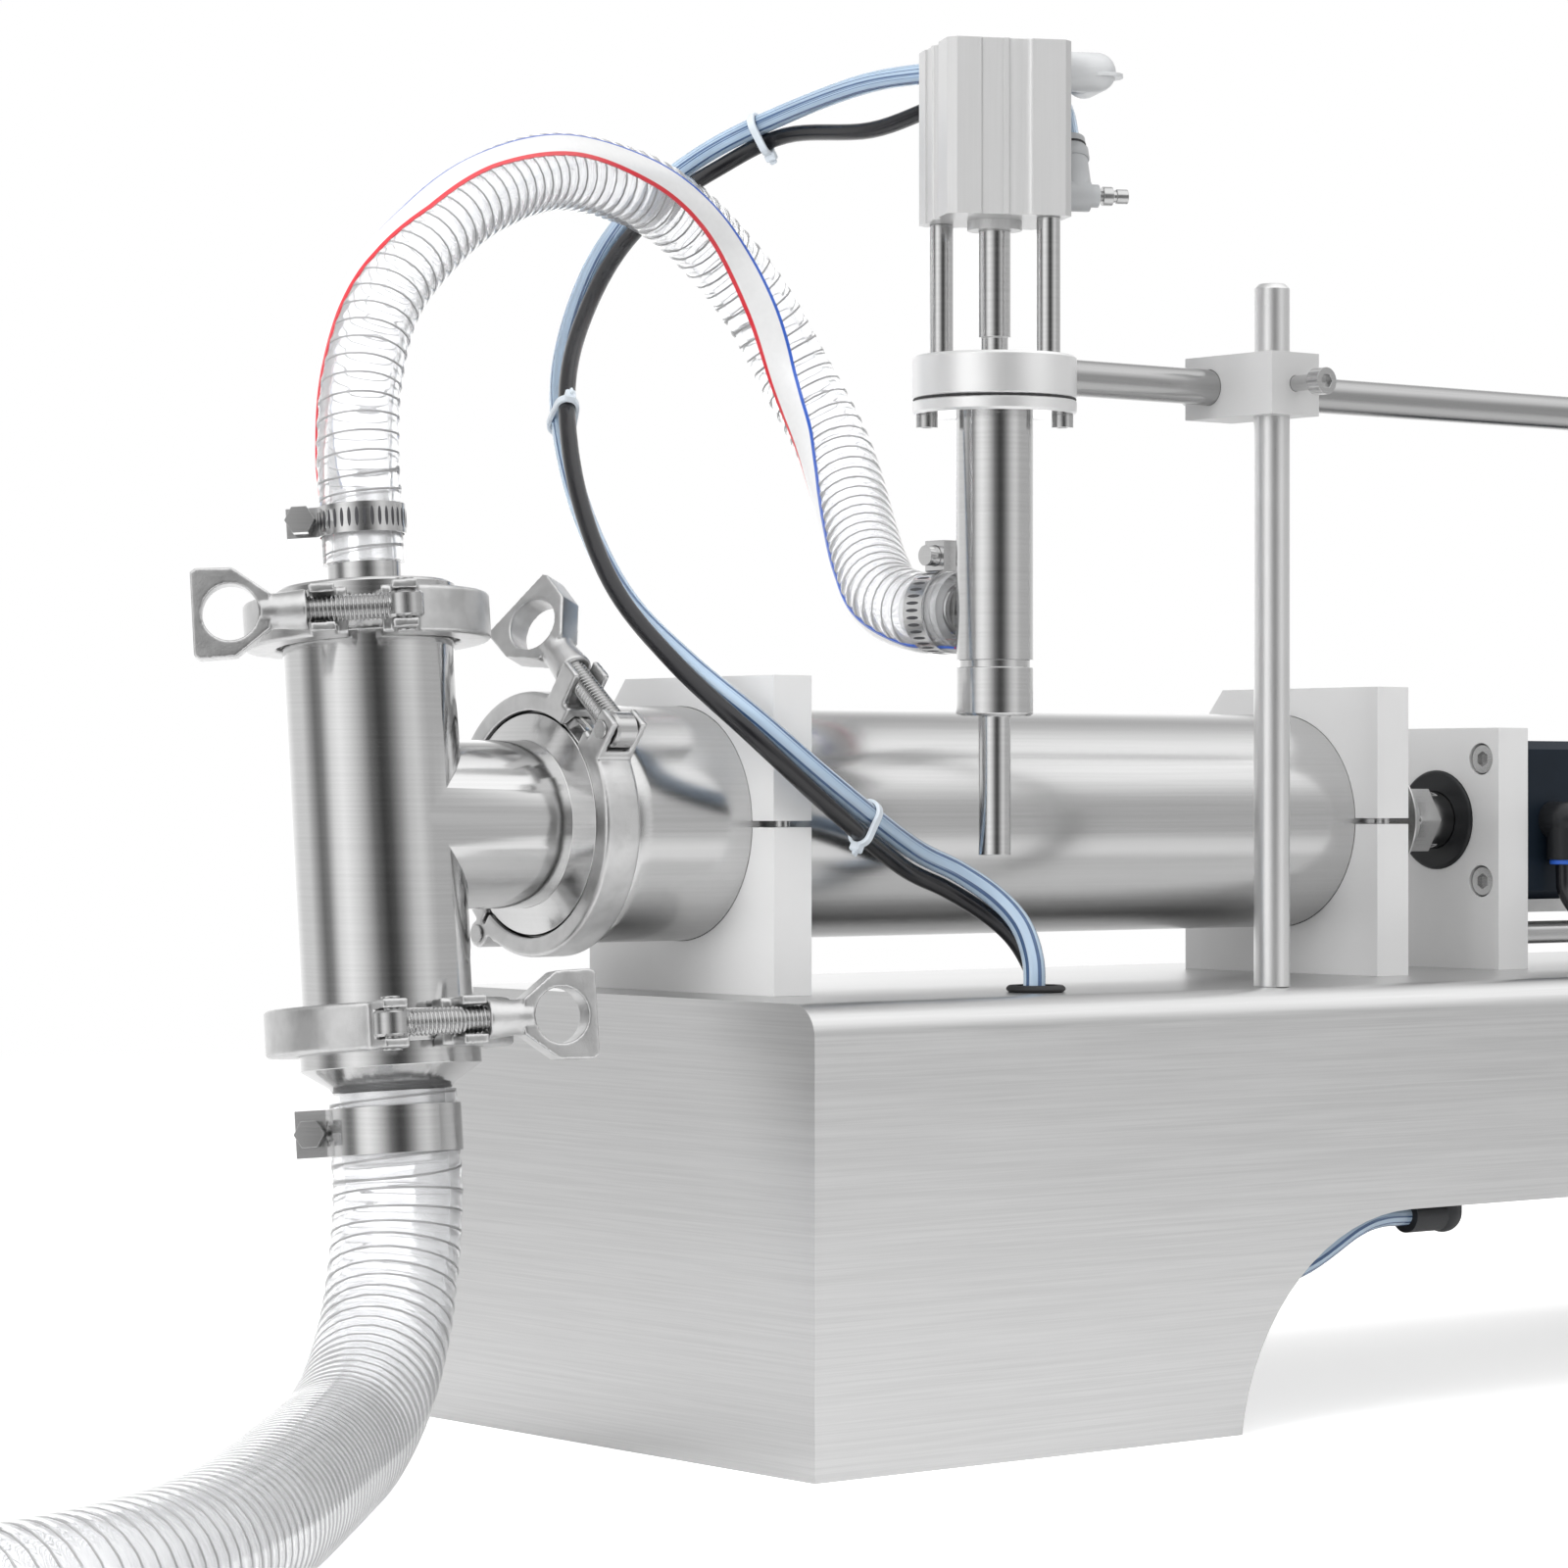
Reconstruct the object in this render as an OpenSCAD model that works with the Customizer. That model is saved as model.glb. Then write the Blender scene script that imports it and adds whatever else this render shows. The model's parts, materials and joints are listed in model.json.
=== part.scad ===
/* [Base] */
// Width of the base from front to back
base_width = 200; // [180:5:240]
// Height of the base's flat top
base_height = 140; // [120:5:170]
// Thickness of the folded steel sheet
base_sheet = 2; // [1.5:0.5:3]
// Radius of the two long top bends
base_bend_r = 10; // [7:1:14]
// Length of each leg along the bench
leg_len = 173.5; // [160:0.5:185]
// Radius of the arch between the legs
arch_r = 77; // [70:1:85]
// Height of the beam's lower edge
arch_top = 67; // [60:1:72]
// Width of the folded-in foot flanges
foot_flange = 22; // [20:1:28]
// Diameter of the bench bolt holes
bench_hole_d = 7; // [5:0.5:9]

/* [Product cylinder] */
// Working stroke of both pistons
stroke = 250; // [200:10:280]
// Outer diameter of the product cylinder
cyl_od = 73; // [69:1:76]
// Wall of the product cylinder
cyl_wall = 3; // [2:0.5:4]
// Height of the cylinder axis above the base's top
axis_rise = 52.5; // [50:0.5:56]
// Length of the product piston
piston_len = 30; // [24:2:36]
// Gap between the product cylinder and the air cylinder's mount
rod_gap = 62; // [56:1:74]

/* [Saddle blocks] */
// Thickness of a saddle block
saddle_t = 15; // [12:1:18]
// Width of a saddle block
saddle_w = 94; // [92:1:104]
// Height of a saddle block
saddle_h = 98; // [97:1:104]
// Slit between saddle and cap
saddle_slit = 2; // [1:0.5:3]
// Place of the left saddle, from the base's left end
saddle_inset = 27; // [22:1:34]

/* [Air cylinder] */
// Side of the square air cylinder
air_w = 56; // [52:1:60]
// Length of each end cap of the air cylinder
air_cap_len = 28; // [24:1:34]
// Diameter of the air cylinder's rod
air_rod_d = 20; // [16:1:22]
// Thickness of an air cylinder mount
mount_t = 15; // [12:1:18]
// Width of an air cylinder mount
mount_w = 60; // [58:1:70]
// Height of an air cylinder mount
mount_h = 85; // [84:1:92]

/* [Tee and clamps] */
// Outer diameter of the tee's tube
tee_od = 51; // [48:0.5:53]
// Wall of the tee's tube
tee_wall = 1.5; // [1.2:0.1:2]
// Distance from the tee's axis to its ferrule faces
tee_arm = 60.5; // [58:0.5:66]
// Place of the tee's axis, left of the base's left end
tee_reach = 86; // [82:1:92]
// Turn of the tee about its branch
tee_turn = 5.5; // [0:0.5:12]
// Radius of the two small clamp rings
clamp_r = 36.7; // [36:0.1:39]
// Height of the two small clamp rings
clamp_h = 14; // [13:0.5:16]
// Radius of the clamp ring on the branch
side_clamp_r = 40.5; // [40:0.5:43]
// Diameter of the eye bolts
eye_bolt_d = 8; // [7:0.5:8]
// Diameter of the hole in a wing nut
wing_hole_d = 16.4; // [14:0.2:17]
// Lift of the two check valves
valve_lift = 8; // [5:0.5:9]

/* [Nozzle] */
// Place of the nozzle's axis, from the base's left end
nozzle_s = 98; // [92:1:104]
// Distance of the nozzle's axis in front of the cylinder axis
nozzle_front = 68; // [66:1:76]
// Height of the arm's axis above the base's top
arm_rise = 192.5; // [180:2.5:200]
// Diameter of the nozzle's round flange
flange_d = 51; // [48:1:54]
// Diameter of the nozzle's body
nozzle_d = 24; // [22:0.5:26]
// Diameter of the filling tip
tip_d = 10; // [8:0.5:12]
// Side of the nozzle's actuator
actuator_w = 39.5; // [35:0.5:40]
// Height of the nozzle's actuator
actuator_h = 54; // [50:1:64]
// Diameter of the post and of the arm
post_d = 11.5; // [10:0.5:12]
// Place of the post, from the base's left end
post_s = 200; // [190:2:210]
// Lift of the shut-off plunger
plunger_lift = 10; // [6:1:12]

/* [Hoses] */
// Outer diameter of the suction hose
suction_od = 38; // [36:1:40]
// Wall of the suction hose
suction_wall = 3; // [2:0.5:4]
// Outer diameter of the discharge hose
discharge_od = 24.5; // [22:0.5:26]
// Wall of the discharge hose
discharge_wall = 3; // [2:0.5:3.5]
// Outer diameter of the blue air tube
blue_tube_d = 7; // [5:0.5:7]
// Outer diameter of the black air tube
black_tube_d = 5.5; // [4:0.5:5.5]

/* [Hidden] */
$fn = 64;

// Clearances, overruns and small shared sizes
cut = 1;
fit = 0.1;
run = 0.05;
loose = 0.3;
hex_fn = 6;
edge = 0.8;
socket_share = 0.55;
tooth_share = 0.98;

// Layout along the machine, measured from the base's left end
cyl_overhang = 10.5;
cyl_spare = 35;
cyl_s0 = -cyl_overhang;
cyl_len = stroke + piston_len + cyl_spare;
cyl_s1 = cyl_s0 + cyl_len;
saddle_proud = 1;
saddle2_s = cyl_s1 - saddle_proud - saddle_t;
mount_s = cyl_s1 + rod_gap;
air_s0 = mount_s + mount_t;
air_spare = 44;
air_barrel_len = stroke + air_spare;
air_s1 = air_s0 + 2 * air_cap_len + air_barrel_len;
base_tail = 8.5;
base_len = air_s1 + mount_t + base_tail;
base_left = -base_len / 2;
axis_z = base_height + axis_rise;
cyl_r = cyl_od / 2;
bore_r = cyl_r - cyl_wall;
air_rod_r = air_rod_d / 2;
end_wall = 5;

// Base details
arch_z = arch_top - arch_r;
arch_s = leg_len + sqrt(arch_r * arch_r - arch_z * arch_z);
bench_hole_inset = 40;
grommet_s = 112.8;
grommet_y = -70.6;
grommet_hole_r = 7.8;
grommet_bore_r = 6.8;
grommet_rim_r = 9.3;
grommet_rim_h = 2.2;
rear_grommet_s = 405;
rear_grommet_y = -62;
far_grommet_inset = 14;
far_grommet_y = -62;
grommet_places = [[grommet_s, grommet_y], [rear_grommet_s, rear_grommet_y],
    [air_s1 - far_grommet_inset, far_grommet_y]];
inlet_hole_r = 6.6;
inlet_y = 40;
inlet_drop = 80;
inlet_z = base_height - inlet_drop;

// Screws
m6_r = 3;
m6_head_r = 5;
m6_head_h = 6;
m6_len = 18;
saddle_screw_y = (cyl_r + saddle_w / 2) / 2;
saddle_foot_y = 30;
cap_bore_r = 4.7;
mount_foot_y = 11.5;
counterbore_r = 5.6;
cap_chamfer_y = 19;
cap_chamfer_z = 22;
cap_rear_seat = 24;
mount_screw_y = 21.5;
mount_screw_z = 21.5;
mount_screw_len = 22;

// Post, arm and cross clamp
post_y = -86.3;
post_r = post_d / 2;
post_h = 225;
post_top_r = 1.5;
spigot_r = 4;
spigot_h = 14;
spigot_nut_r = 7.5;
spigot_nut_h = 6;
spigot_nut_gap = 0.6;
arm_z = base_height + arm_rise;
arm_tail = 160;
cross_t = 21;
cross_h = 20;
cross_margin = 5;
cross_screw_len = 14;
m5_r = 2.5;
m5_head_r = 4.3;
m5_head_h = 5;
arm_in_flange = 8;

// Nozzle
nozzle_y = -nozzle_front;
flange_h = 13.5;
flange_drop = 8.7;
flange_z = arm_z - flange_drop;
flange_r = flange_d / 2;
plate_h = 4.6;
flange_screw_at = 21;
flange_screw_turn = -38.8;
flange_screw_grip = 8;
m4_r = 2;
m4_head_r = 3.4;
m4_head_h = 4;
nozzle_r = nozzle_d / 2;
nozzle_wall = 2;
nozzle_len = 76;
body_z = flange_z - plate_h - nozzle_len;
groove_h = 2.4;
groove_depth = 1;
collar_h = 15;
seat_cone_h = 6;
tip_len = 43;
tip_z = body_z - groove_h - collar_h;
tip_wall = 1;
tip_r = tip_d / 2;
head_turn = -26;
tie_len = 42;
tie_r = 3.7;
tie_at = 13.5;
actuator_z = flange_z + flange_h + tie_len;
actuator_bore_r = 14;
actuator_end = 6;
actuator_bevel = 2.5;
recess_at = -0.15;
recess_share = 0.18;
recess_depth = 0.5;
flute_at = 0.075;
flute_share = 0.19;
flute_depth = 1.3;
flute_facets = 24;
guide_r = 8.5;
guide_h = 3;
plunger_r = 5;
plunger_neck_r = 4.2;
plunger_neck_h = 5;
plunger_stem_r = 3;
actuator_piston_h = 10;
seal_r = 7.5;
seal_h = 9;
seal_nose_r = 4;
barb_rise = 119;
barb_z = base_height + barb_rise;
barb_len = 24;
barb_bore_r = 6;

// Tee, ferrules and clamps
tee_r = tee_od / 2;
tee_bore_r = tee_r - tee_wall;
gasket_t = 1;
ferrule_r = 32;
ferrule_rim = 2.2;
ferrule_back = 1.8;
clamp_open_r = 27.3;
boss_r = 26.9;
side_ferrule_r = 37.3;
side_open_r = 34.6;
side_neck_r = 33.8;
side_clamp_h = 13;
side_clamp_s = -24.7;
branch_weld_s = -33;
clamp_gap = 10;
lug_y = 12;
lug_t = 7.5;
lug_out = 10;
bolt_out = 5;
slot_clear = 0.3;
pin_r = 2;
knuckle_r = 4.2;
knuckle_out = 2.5;
hinge_slit = 1.5;
nut_gap = 0.6;
eye_r = 5.4;
eye_h = 7.6;
nut_neck_r = 6;
nut_waist_r = 5.2;
nut_neck_len = 12.6;
nut_plate_t = 9;
nut_plate_len = 22.5;
nut_plate_w = 26.4;
nut_lap = 2;
plate_shares = [[0.39, 0], [0.98, 0.46], [1, 0.93], [0.92, 1], [-0.92, 1], [-1, 0.93],
    [-0.98, 0.46], [-0.39, 0]];
wing_hole_inset = 9.6;
nut_thread_depth = 12;
top_clamp_turn = -125;
bottom_clamp_turn = -107;
side_clamp_turn = 38;
side_nut_turn = 65;

// Hose adapters
outlet_boss_top = 71.2;
outlet_neck_r = 11;
outlet_neck_top = 78;
outlet_barb_top = 100;
outlet_bore_r = 8;
discharge_r = discharge_od / 2;
discharge_bore_r = discharge_r - discharge_wall;
inlet_boss_end = 72;
inlet_cone_end = 77.5;
inlet_neck_r = 17.7;
inlet_neck_end = 79;
inlet_barb_end = 100;
suction_r = suction_od / 2;
suction_bore_r = suction_r - suction_wall;
inlet_bore_r = 13;
barb_ridge = 0.6;
barb_step = 8;

// Check valves
cage_r = tee_bore_r - fit;
seat_h = 6;
seat_bore_r = 14;
bridge_h = 4;
pillar_r = 2.5;
pillar_at = 20.5;
poppet_r = 17.5;
poppet_h = 4;
stem_r = 3;
spring_shut_len = 11;
cage_h = seat_h + poppet_h + valve_lift + spring_shut_len + bridge_h;
spring_r = 8;
spring_wire_r = 0.7;
spring_turns = 6;
spring_rings = 8;
spring_sides = 6;

// Rod coupling and glands
cone_s = cyl_s1 + 28.5;
cone_len = 13;
cone_big_r = 22;
cone_small_r = 12;
coupling_nut_r = 12.7;
coupling_nut_h = 10;
coupling_flat = 17;
rod_end_r = 8;
rod_in_piston = 10;
piston_inset = 12;
gland_r = 17.5;
gland_proud = 1.2;
air_piston_t = 15;
air_wall = 3;
seal_t = 4;

// Volume adjustment along the air cylinder
rail_h = 4.5;
rail_w = 14;
rail_y = -21;
screw_z = axis_z - air_w / 2 - rail_h - 7.5;
screw_r = 4;
carriage_len = 24;
carriage_w = 18;
carriage_h = 14;
carriage_inset = 60;
wheel_r = 22;
wheel_t = 14;
wheel_gap = 4;

// Fittings
elbow_r = 6.5;
elbow_h = 12;
elbow_base_h = 7;
elbow_collar_r = 5.8;
elbow_collar_h = 14;

head_elbow_rise = 286.5;
head_elbow_z = base_height + head_elbow_rise;
head_elbow_r = 6.2;
head_stub_r = 5;
head_stub_len = 2.2;
head_elbow_out = 13;
head_rim_r = 7;
head_rim_out = 1.5;
head_rim_drop = 1.8;
head_rim_t = 1.2;
head_collar_len = 14;
flow_rise = 248;
flow_z = base_height + flow_rise;
flow_r = 5;
flow_body_len = 10.5;
flow_nut_r = 3.6;
flow_len = 13.5;
flow_out = 6.7;
flow_collar_h = 20;
flow_lean = 25;
needle_depth = 6;
needle_r = 2;
needle_neck_r = 1.6;
needle_neck_len = 1.4;
lock_ring_r = 3;
lock_ring_len = 3.2;
knob_gap_r = 1.9;
knob_gap_len = 1.3;
knob_r = 2.3;
knob_len = 3.7;
valve_s = 268;
valve_drop = 68;
valve_z = base_height - valve_drop;
valve_len = 62;
valve_w = 26;
valve_h = 32;
inlet_out = 18;
inlet_hex_r = 9;
inlet_hex_h = 6;
inlet_nut_h = 5;
inlet_bore = 4;
inlet_tube_in = 1;

// Straps of the hose clamps
band_t = 0.8;
band_turn = -38.8;
outlet_band_w = 9;
outlet_band_at = 91;
inlet_band_w = 14;
inlet_band_at = 90.5;
worm_r = 4;
worm_len = 16;
worm_head_r = 4.5;
worm_head_h = 5;

// Steps that a sweep makes between two route points, and its sides
hose_sides = 8;
hose_ribs = 80;
rib_height = 0.5;
bore_rings = 48;
tube_steps = 2;
base_tube_steps = 3;
tube_sides = 8;
blue_spread = 2.9;
black_spread = -3.9;
route_steps = 12;

// Base height that the suction route is drawn for, and its heights on the bench and below the tee
usual_height = 140;
bench_line = 19.6;
hang_line = 84;
// Base width that the air tubes' routes are drawn for: inside the base they keep to its front wall
usual_width = 200;
wall_line = 90;
middle_line = 60;
wall_depth = 20;
// The routes: along the machine, across it, and up from the base's top
// Route of the discharge hose from the tee to the nozzle
discharge_route = [[-86, 7.5, 130.5], [-86, 9.6, 152], [-86, 10.7, 164], [-82, 15, 186],
    [-70, 22, 211], [-48, 31, 231], [-20, 42, 248], [20, 59, 261], [59, 71, 261], [85, 77, 254],
    [105, 80, 242], [119, 77, 226], [130, 71, 204], [134, 57, 181], [130, 43.5, 165.5],
    [121.1, 26.3, 149], [110.5, 6.8, 134.1], [102.4, -11.6, 124], [98, -33.5, 119],
    [98, -44, 119], [98, -54, 119]];
// Route of the suction hose from the tee to the bench and away, with heights over the bench
suction_route = [[-86, -7.6, 113.5], [-86, -9.4, 95], [-86, -10.5, 84], [-90, -14.5, 65],
    [-100, -24, 45], [-117, -40, 29.5], [-141, -64, 21], [-167, -92, 19.6], [-194, -122, 19.6],
    [-224, -155, 19.6], [-256, -188, 19.6], [-292, -218, 19.6], [-336, -241, 19.6],
    [-388, -249, 19.6], [-438, -236, 19.6], [-474, -203, 19.6], [-490, -160, 19.6],
    [-484, -112, 19.6], [-462, -70, 19.6], [-430, -36, 19.6], [-398, -12, 19.6]];
// Route of the two air tubes from the base to the actuator's two ports
bundle_route = [[112.65, -70.65, -12], [112.65, -70.65, 1], [112.9, -68.1, 10.2], [111.9, -62.5, 19.4],
    [107.5, -55.1, 27.5], [97.8, -48.2, 35.2], [80.7, -45.7, 42.9], [42.3, -56.9, 61.1],
    [14.2, -54.5, 81.8], [1.7, -34.3, 101.4], [-3.8, -11.4, 122.1], [-1.8, 10.6, 147.4],
    [7.5, 32.9, 173.2], [22.6, 54.6, 196.4], [44.4, 75, 220.1], [67.1, 89.7, 241.8],
    [91.3, 98.8, 260.3], [112.9, 95.3, 275.8], [126, 73.4, 286.6]];
bundle_turn = 200;
bundle_twist = 360;
blue_start_route = [[257, -90, -76], [245, -90, -76], [233, -90, -79], [208, -90, -90],
    [176, -89, -95], [147, -85, -84], [124, -78, -60], [111.5, -72, -32]];
blue_end_route = [[123.2, 25.6, 294.8], [121.4, -15, 294], [123.4, -38.8, 293], [127.4, -51.8, 288.5],
    [129.1, -60.3, 282.5], [128.2, -66.4, 275.5], [125.6, -71.6, 267], [124.2, -74.7, 259.8]];
black_start_route = [[268, -84, -48], [255, -84, -48], [240, -79, -49], [215, -70, -50],
    [172, -63, -49], [138, -64, -43], [119, -68.5, -27]];
black_end_route = [[126.8, 26, 280.1], [129.9, -8.2, 285.4], [136, -30.5, 286.6],
    [140.7, -46, 287], [138.9, -58, 286.7], [134.9, -67.1, 286.5], [130.9, -75.1, 286.5]];
// Routes of the tubes between the air cylinder, the control valve and the supply
front_tube_route = [[395.5, -34, 42], [395.5, -34, 34], [395.5, -35.5, 26], [398, -44, 16], [404, -59, 7],
    [405, -62, -4], [404, -66, -20], [388, -75, -34], [360, -82, -42], [346, -84, -43],
    [338, -84, -43], [330, -84, -43]];
rear_tube_route = [[717.5, -34, 42], [717.5, -34, 34], [717.5, -35.5, 26], [717.5, -45, 16], [717.5, -59, 7],
    [717.5, -62, -4], [714, -64, -20], [696, -70, -32], [640, -74, -40], [520, -76, -46],
    [420, -80, -52], [360, -84, -54], [345, -84, -54], [330, -84, -54]];
supply_tube_route = [[752, 40, -80], [742, 40, -80], [732, 39, -80], [720, 27, -78], [708, -10, -72],
    [696, -50, -66], [668, -76, -62], [600, -84, -62], [480, -84, -62], [400, -84, -62],
    [360, -84, -62], [330, -84, -62]];

// Points of a smooth curve through the points p, n steps between each pair
function clamped(p, i) = p[max(0, min(len(p) - 1, i))];
function curve_point(a, b, c, d, t) = 0.5 * ((2 * b) + (c - a) * t
    + (2 * a - 5 * b + 4 * c - d) * t * t + (3 * b - a - 3 * c + d) * t * t * t);
function smooth(p, n) = concat([for (i = [0 : len(p) - 2], k = [0 : n - 1])
    curve_point(clamped(p, i - 1), p[i], p[i + 1], clamped(p, i + 2), k / n)], [p[len(p) - 1]]);
// Points at equal steps along the line p, n + 1 of them
function running(p) = [for (i = 0, sum = 0; i < len(p);
    sum = sum + (i + 1 < len(p) ? norm(p[i + 1] - p[i]) : 0), i = i + 1) sum];
function at_length(p, along, want, i = 0) = i >= len(p) - 2 || along[i + 1] >= want
    ? p[i] + (p[i + 1] - p[i]) * (want - along[i]) / max(along[i + 1] - along[i], 0.001)
    : at_length(p, along, want, i + 1);
function even(p, n) = let (along = running(p), total = along[len(p) - 1])
    [for (k = [0 : n]) at_length(p, along, total * k / n)];
// A unit tangent and a steady side vector at each point of a line
function unit(v) = v / norm(v);
function tangents(p) = [for (i = [0 : len(p) - 1]) unit(clamped(p, i + 1) - clamped(p, i - 1))];
function square_to(v, t) = unit(v - (v * t) * t);
function sides_of(t, first) = [for (i = 0, v = square_to(first, t[0]); i < len(t);
    i = i + 1, v = i < len(t) ? square_to(v, t[i]) : v) v];
// Rings of a tube: n points round each point of a line, with a radius for each
function rings(p, r, n, first) = let (t = tangents(p), s = sides_of(t, first))
    [for (i = [0 : len(p) - 1], k = [0 : n - 1]) let (a = 360 * k / n)
        p[i] + r[i] * (cos(a) * s[i] + sin(a) * cross(t[i], s[i]))];
function skin(count, n, start, inward) = [for (i = [0 : count - 2], k = [0 : n - 1], half = [0, 1])
    let (a = start + i * n + k, b = start + i * n + (k + 1) % n)
    inward ? (half == 0 ? [a, b, b + n] : [a, b + n, a + n])
        : (half == 0 ? [a, b + n, b] : [a, a + n, b + n])];

// A solid tube along a line
module solid_tube(p, r, n, first = [1, 0, 0]) {
    count = len(p);
    last = (count - 1) * n;
    caps = concat([for (k = [1 : n - 2]) [0, k, k + 1]],
        [for (k = [1 : n - 2]) [last, last + k + 1, last + k]]);
    polyhedron(rings(p, [for (q = p) r], n, first), concat(skin(count, n, 0, false), caps));
}

// A hose with its bore: the outside rises at each rib, and its two ends stay plain
module ribbed_hose(route, od, wall, ribs) {
    line = smooth(route, route_steps);
    outside = even(line, 2 * ribs + 1);
    inside = even(line, bore_rings);
    plain = ceil(2 * ribs * od / running(line)[len(line) - 1]);
    bore_corner = (od / 2 - wall) / cos(180 / hose_sides);
    radii = [for (i = [0 : len(outside) - 1]) od / 2
        + (i % 2 == 1 && i > plain && i < len(outside) - 1 - plain ? rib_height : 0)];
    n = hose_sides;
    first_in = len(outside) * n;
    last_out = first_in - n;
    last_in = first_in + bore_rings * n;
    ends = [for (k = [0 : n - 1], half = [0, 1], far = [0, 1]) let (m = (k + 1) % n,
        a = far == 0 ? k : last_out + k, b = far == 0 ? m : last_out + m,
        c = far == 0 ? first_in + k : last_in + k, d = far == 0 ? first_in + m : last_in + m)
        far == 0 ? (half == 0 ? [a, b, d] : [a, d, c]) : (half == 0 ? [a, d, b] : [a, c, d])];
    polyhedron(concat(rings(outside, radii, n, [1, 0, 0]),
        rings(inside, [for (q = inside) bore_corner], n, [1, 0, 0])),
        concat(skin(len(outside), n, 0, false), skin(bore_rings + 1, n, first_in, true), ends));
}

// Frames of reference
module at_s(s) {
    translate([base_left + s, 0, 0]) children();
}
module on_axis(s) {
    translate([base_left + s, 0, axis_z]) rotate([0, 90, 0]) children();
}
module on_tee(along = 0) {
    translate([base_left - tee_reach, 0, axis_z]) rotate([-tee_turn, 0, 0])
        translate([0, 0, along]) children();
}
module on_nozzle(z) {
    translate([base_left + nozzle_s, nozzle_y, z]) children();
}
module on_head(z) {
    on_nozzle(z) rotate([0, 0, head_turn]) children();
}
module on_side_clamp() {
    translate([base_left + side_clamp_s, 0, axis_z]) rotate([180 + side_clamp_turn, 0, 0])
        rotate([0, 90, 0]) children();
}
module on_top_clamp() {
    on_tee(tee_arm) rotate([0, 0, top_clamp_turn]) children();
}
module on_bottom_clamp() {
    on_tee(-tee_arm) rotate([0, 0, bottom_clamp_turn]) rotate([180, 0, 0]) children();
}

// Common shapes
module ring(r_out, r_in, h) {
    difference() {
        cylinder(r = r_out, h = h);
        translate([0, 0, -cut]) cylinder(r = r_in, h = h + 2 * cut);
    }
}
module bevelled(r, h, bevel = edge) {
    rotate_extrude() polygon([[0, 0], [r - bevel, 0], [r, bevel], [r, h - bevel],
        [r - bevel, h], [0, h]]);
}
module socket_screw(r, len, head_r, head_h) {
    socket_r = head_r * socket_share;
    difference() {
        union() {
            cylinder(r = r, h = len);
            translate([0, 0, len]) cylinder(r = head_r, h = head_h);
        }
        translate([0, 0, len + head_h / 2]) cylinder(r = socket_r, h = head_h, $fn = hex_fn);
    }
}

// Folded steel base
module base_section(w, h, r) {
    union() {
        translate([-w / 2, 0]) square([w, h - r]);
        translate([r - w / 2, 0]) square([w - 2 * r, h]);
        for (side = [-1, 1]) translate([side * (w / 2 - r), h - r]) circle(r);
    }
}
module base_run(s, len, w, h, r) {
    at_s(s) rotate([90, 0, 90]) linear_extrude(len) base_section(w, h, r);
}
module foot(s) {
    for (side = [-1, 1])
        at_s(s) translate([0, side * (base_width - foot_flange) / 2, 0])
            translate([0, -foot_flange / 2, 0]) cube([leg_len, foot_flange, base_sheet]);
}
module arch_cut() {
    rotate([90, 0, 0]) linear_extrude(base_width + 2 * cut, center = true) union() {
        for (side = [-1, 1]) translate([side * (base_len / 2 - arch_s), arch_z]) circle(arch_r, $fn = 128);
        translate([arch_s - base_len / 2, arch_z]) square([base_len - 2 * arch_s, arch_r]);
    }
}
module hole_down(s, y, r, z) {
    at_s(s) translate([0, y, z - cut]) cylinder(r = r, h = base_height);
}
module base_frame() color("silver") difference() {
    union() {
        difference() {
            base_run(0, base_len, base_width, base_height, base_bend_r);
            base_run(base_sheet, base_len - 2 * base_sheet, base_width - 2 * base_sheet,
                base_height - base_sheet, base_bend_r - base_sheet);
            translate([0, 0, -base_height]) base_run(base_sheet, base_len - 2 * base_sheet,
                base_width - 2 * base_sheet, base_height + cut, base_bend_r - base_sheet);
            arch_cut();
        }
        foot(0);
        foot(base_len - leg_len);
    }
    for (s = [bench_hole_inset, base_len - bench_hole_inset], side = [-1, 1])
        at_s(s) translate([0, side * (base_width - foot_flange) / 2, -cut])
            cylinder(r = bench_hole_d / 2, h = base_sheet + 2 * cut);
    top = base_height - base_sheet;
    for (at = grommet_places) hole_down(at[0], at[1], grommet_hole_r, top);
    hole_down(post_s, post_y, spigot_r + fit, top);
    for (s = [saddle_inset + saddle_t / 2, saddle2_s + saddle_t / 2], side = [-1, 1])
        hole_down(s, side * saddle_foot_y, m6_r + fit, top);
    for (s = [mount_s + mount_t / 2, air_s1 + mount_t / 2], side = [-1, 1])
        hole_down(s, side * mount_foot_y, m6_r + fit, top);
    at_s(base_len - base_sheet - cut) translate([0, inlet_y, inlet_z]) rotate([0, 90, 0])
        cylinder(r = inlet_hole_r, h = base_sheet + 2 * cut);
}

// Saddle blocks: each is split at the cylinder's axis and drawn together by two screws
module saddle_blank(s) {
    at_s(s) translate([0, -saddle_w / 2, base_height]) cube([saddle_t, saddle_w, saddle_h]);
}
module saddle_bore(s) {
    on_axis(s - cut) cylinder(r = cyl_r + fit, h = saddle_t + 2 * cut, $fn = 96);
}
module saddle_screws_cut(s, r, z, h) {
    for (side = [-1, 1]) at_s(s + saddle_t / 2) translate([0, side * saddle_screw_y, z])
        cylinder(r = r, h = h);
}
module saddle(s) difference() {
    saddle_blank(s);
    saddle_bore(s);
    at_s(s - cut) translate([0, -saddle_w, axis_z - saddle_slit / 2])
        cube([saddle_t + 2 * cut, 2 * saddle_w, saddle_h]);
    saddle_screws_cut(s, m5_r + run, axis_z - m6_len, saddle_h);
    for (side = [-1, 1]) at_s(s + saddle_t / 2) translate([0, side * saddle_foot_y, base_height - cut])
        cylinder(r = m6_r + run, h = m6_len - base_sheet + 2 * cut);
}
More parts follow.
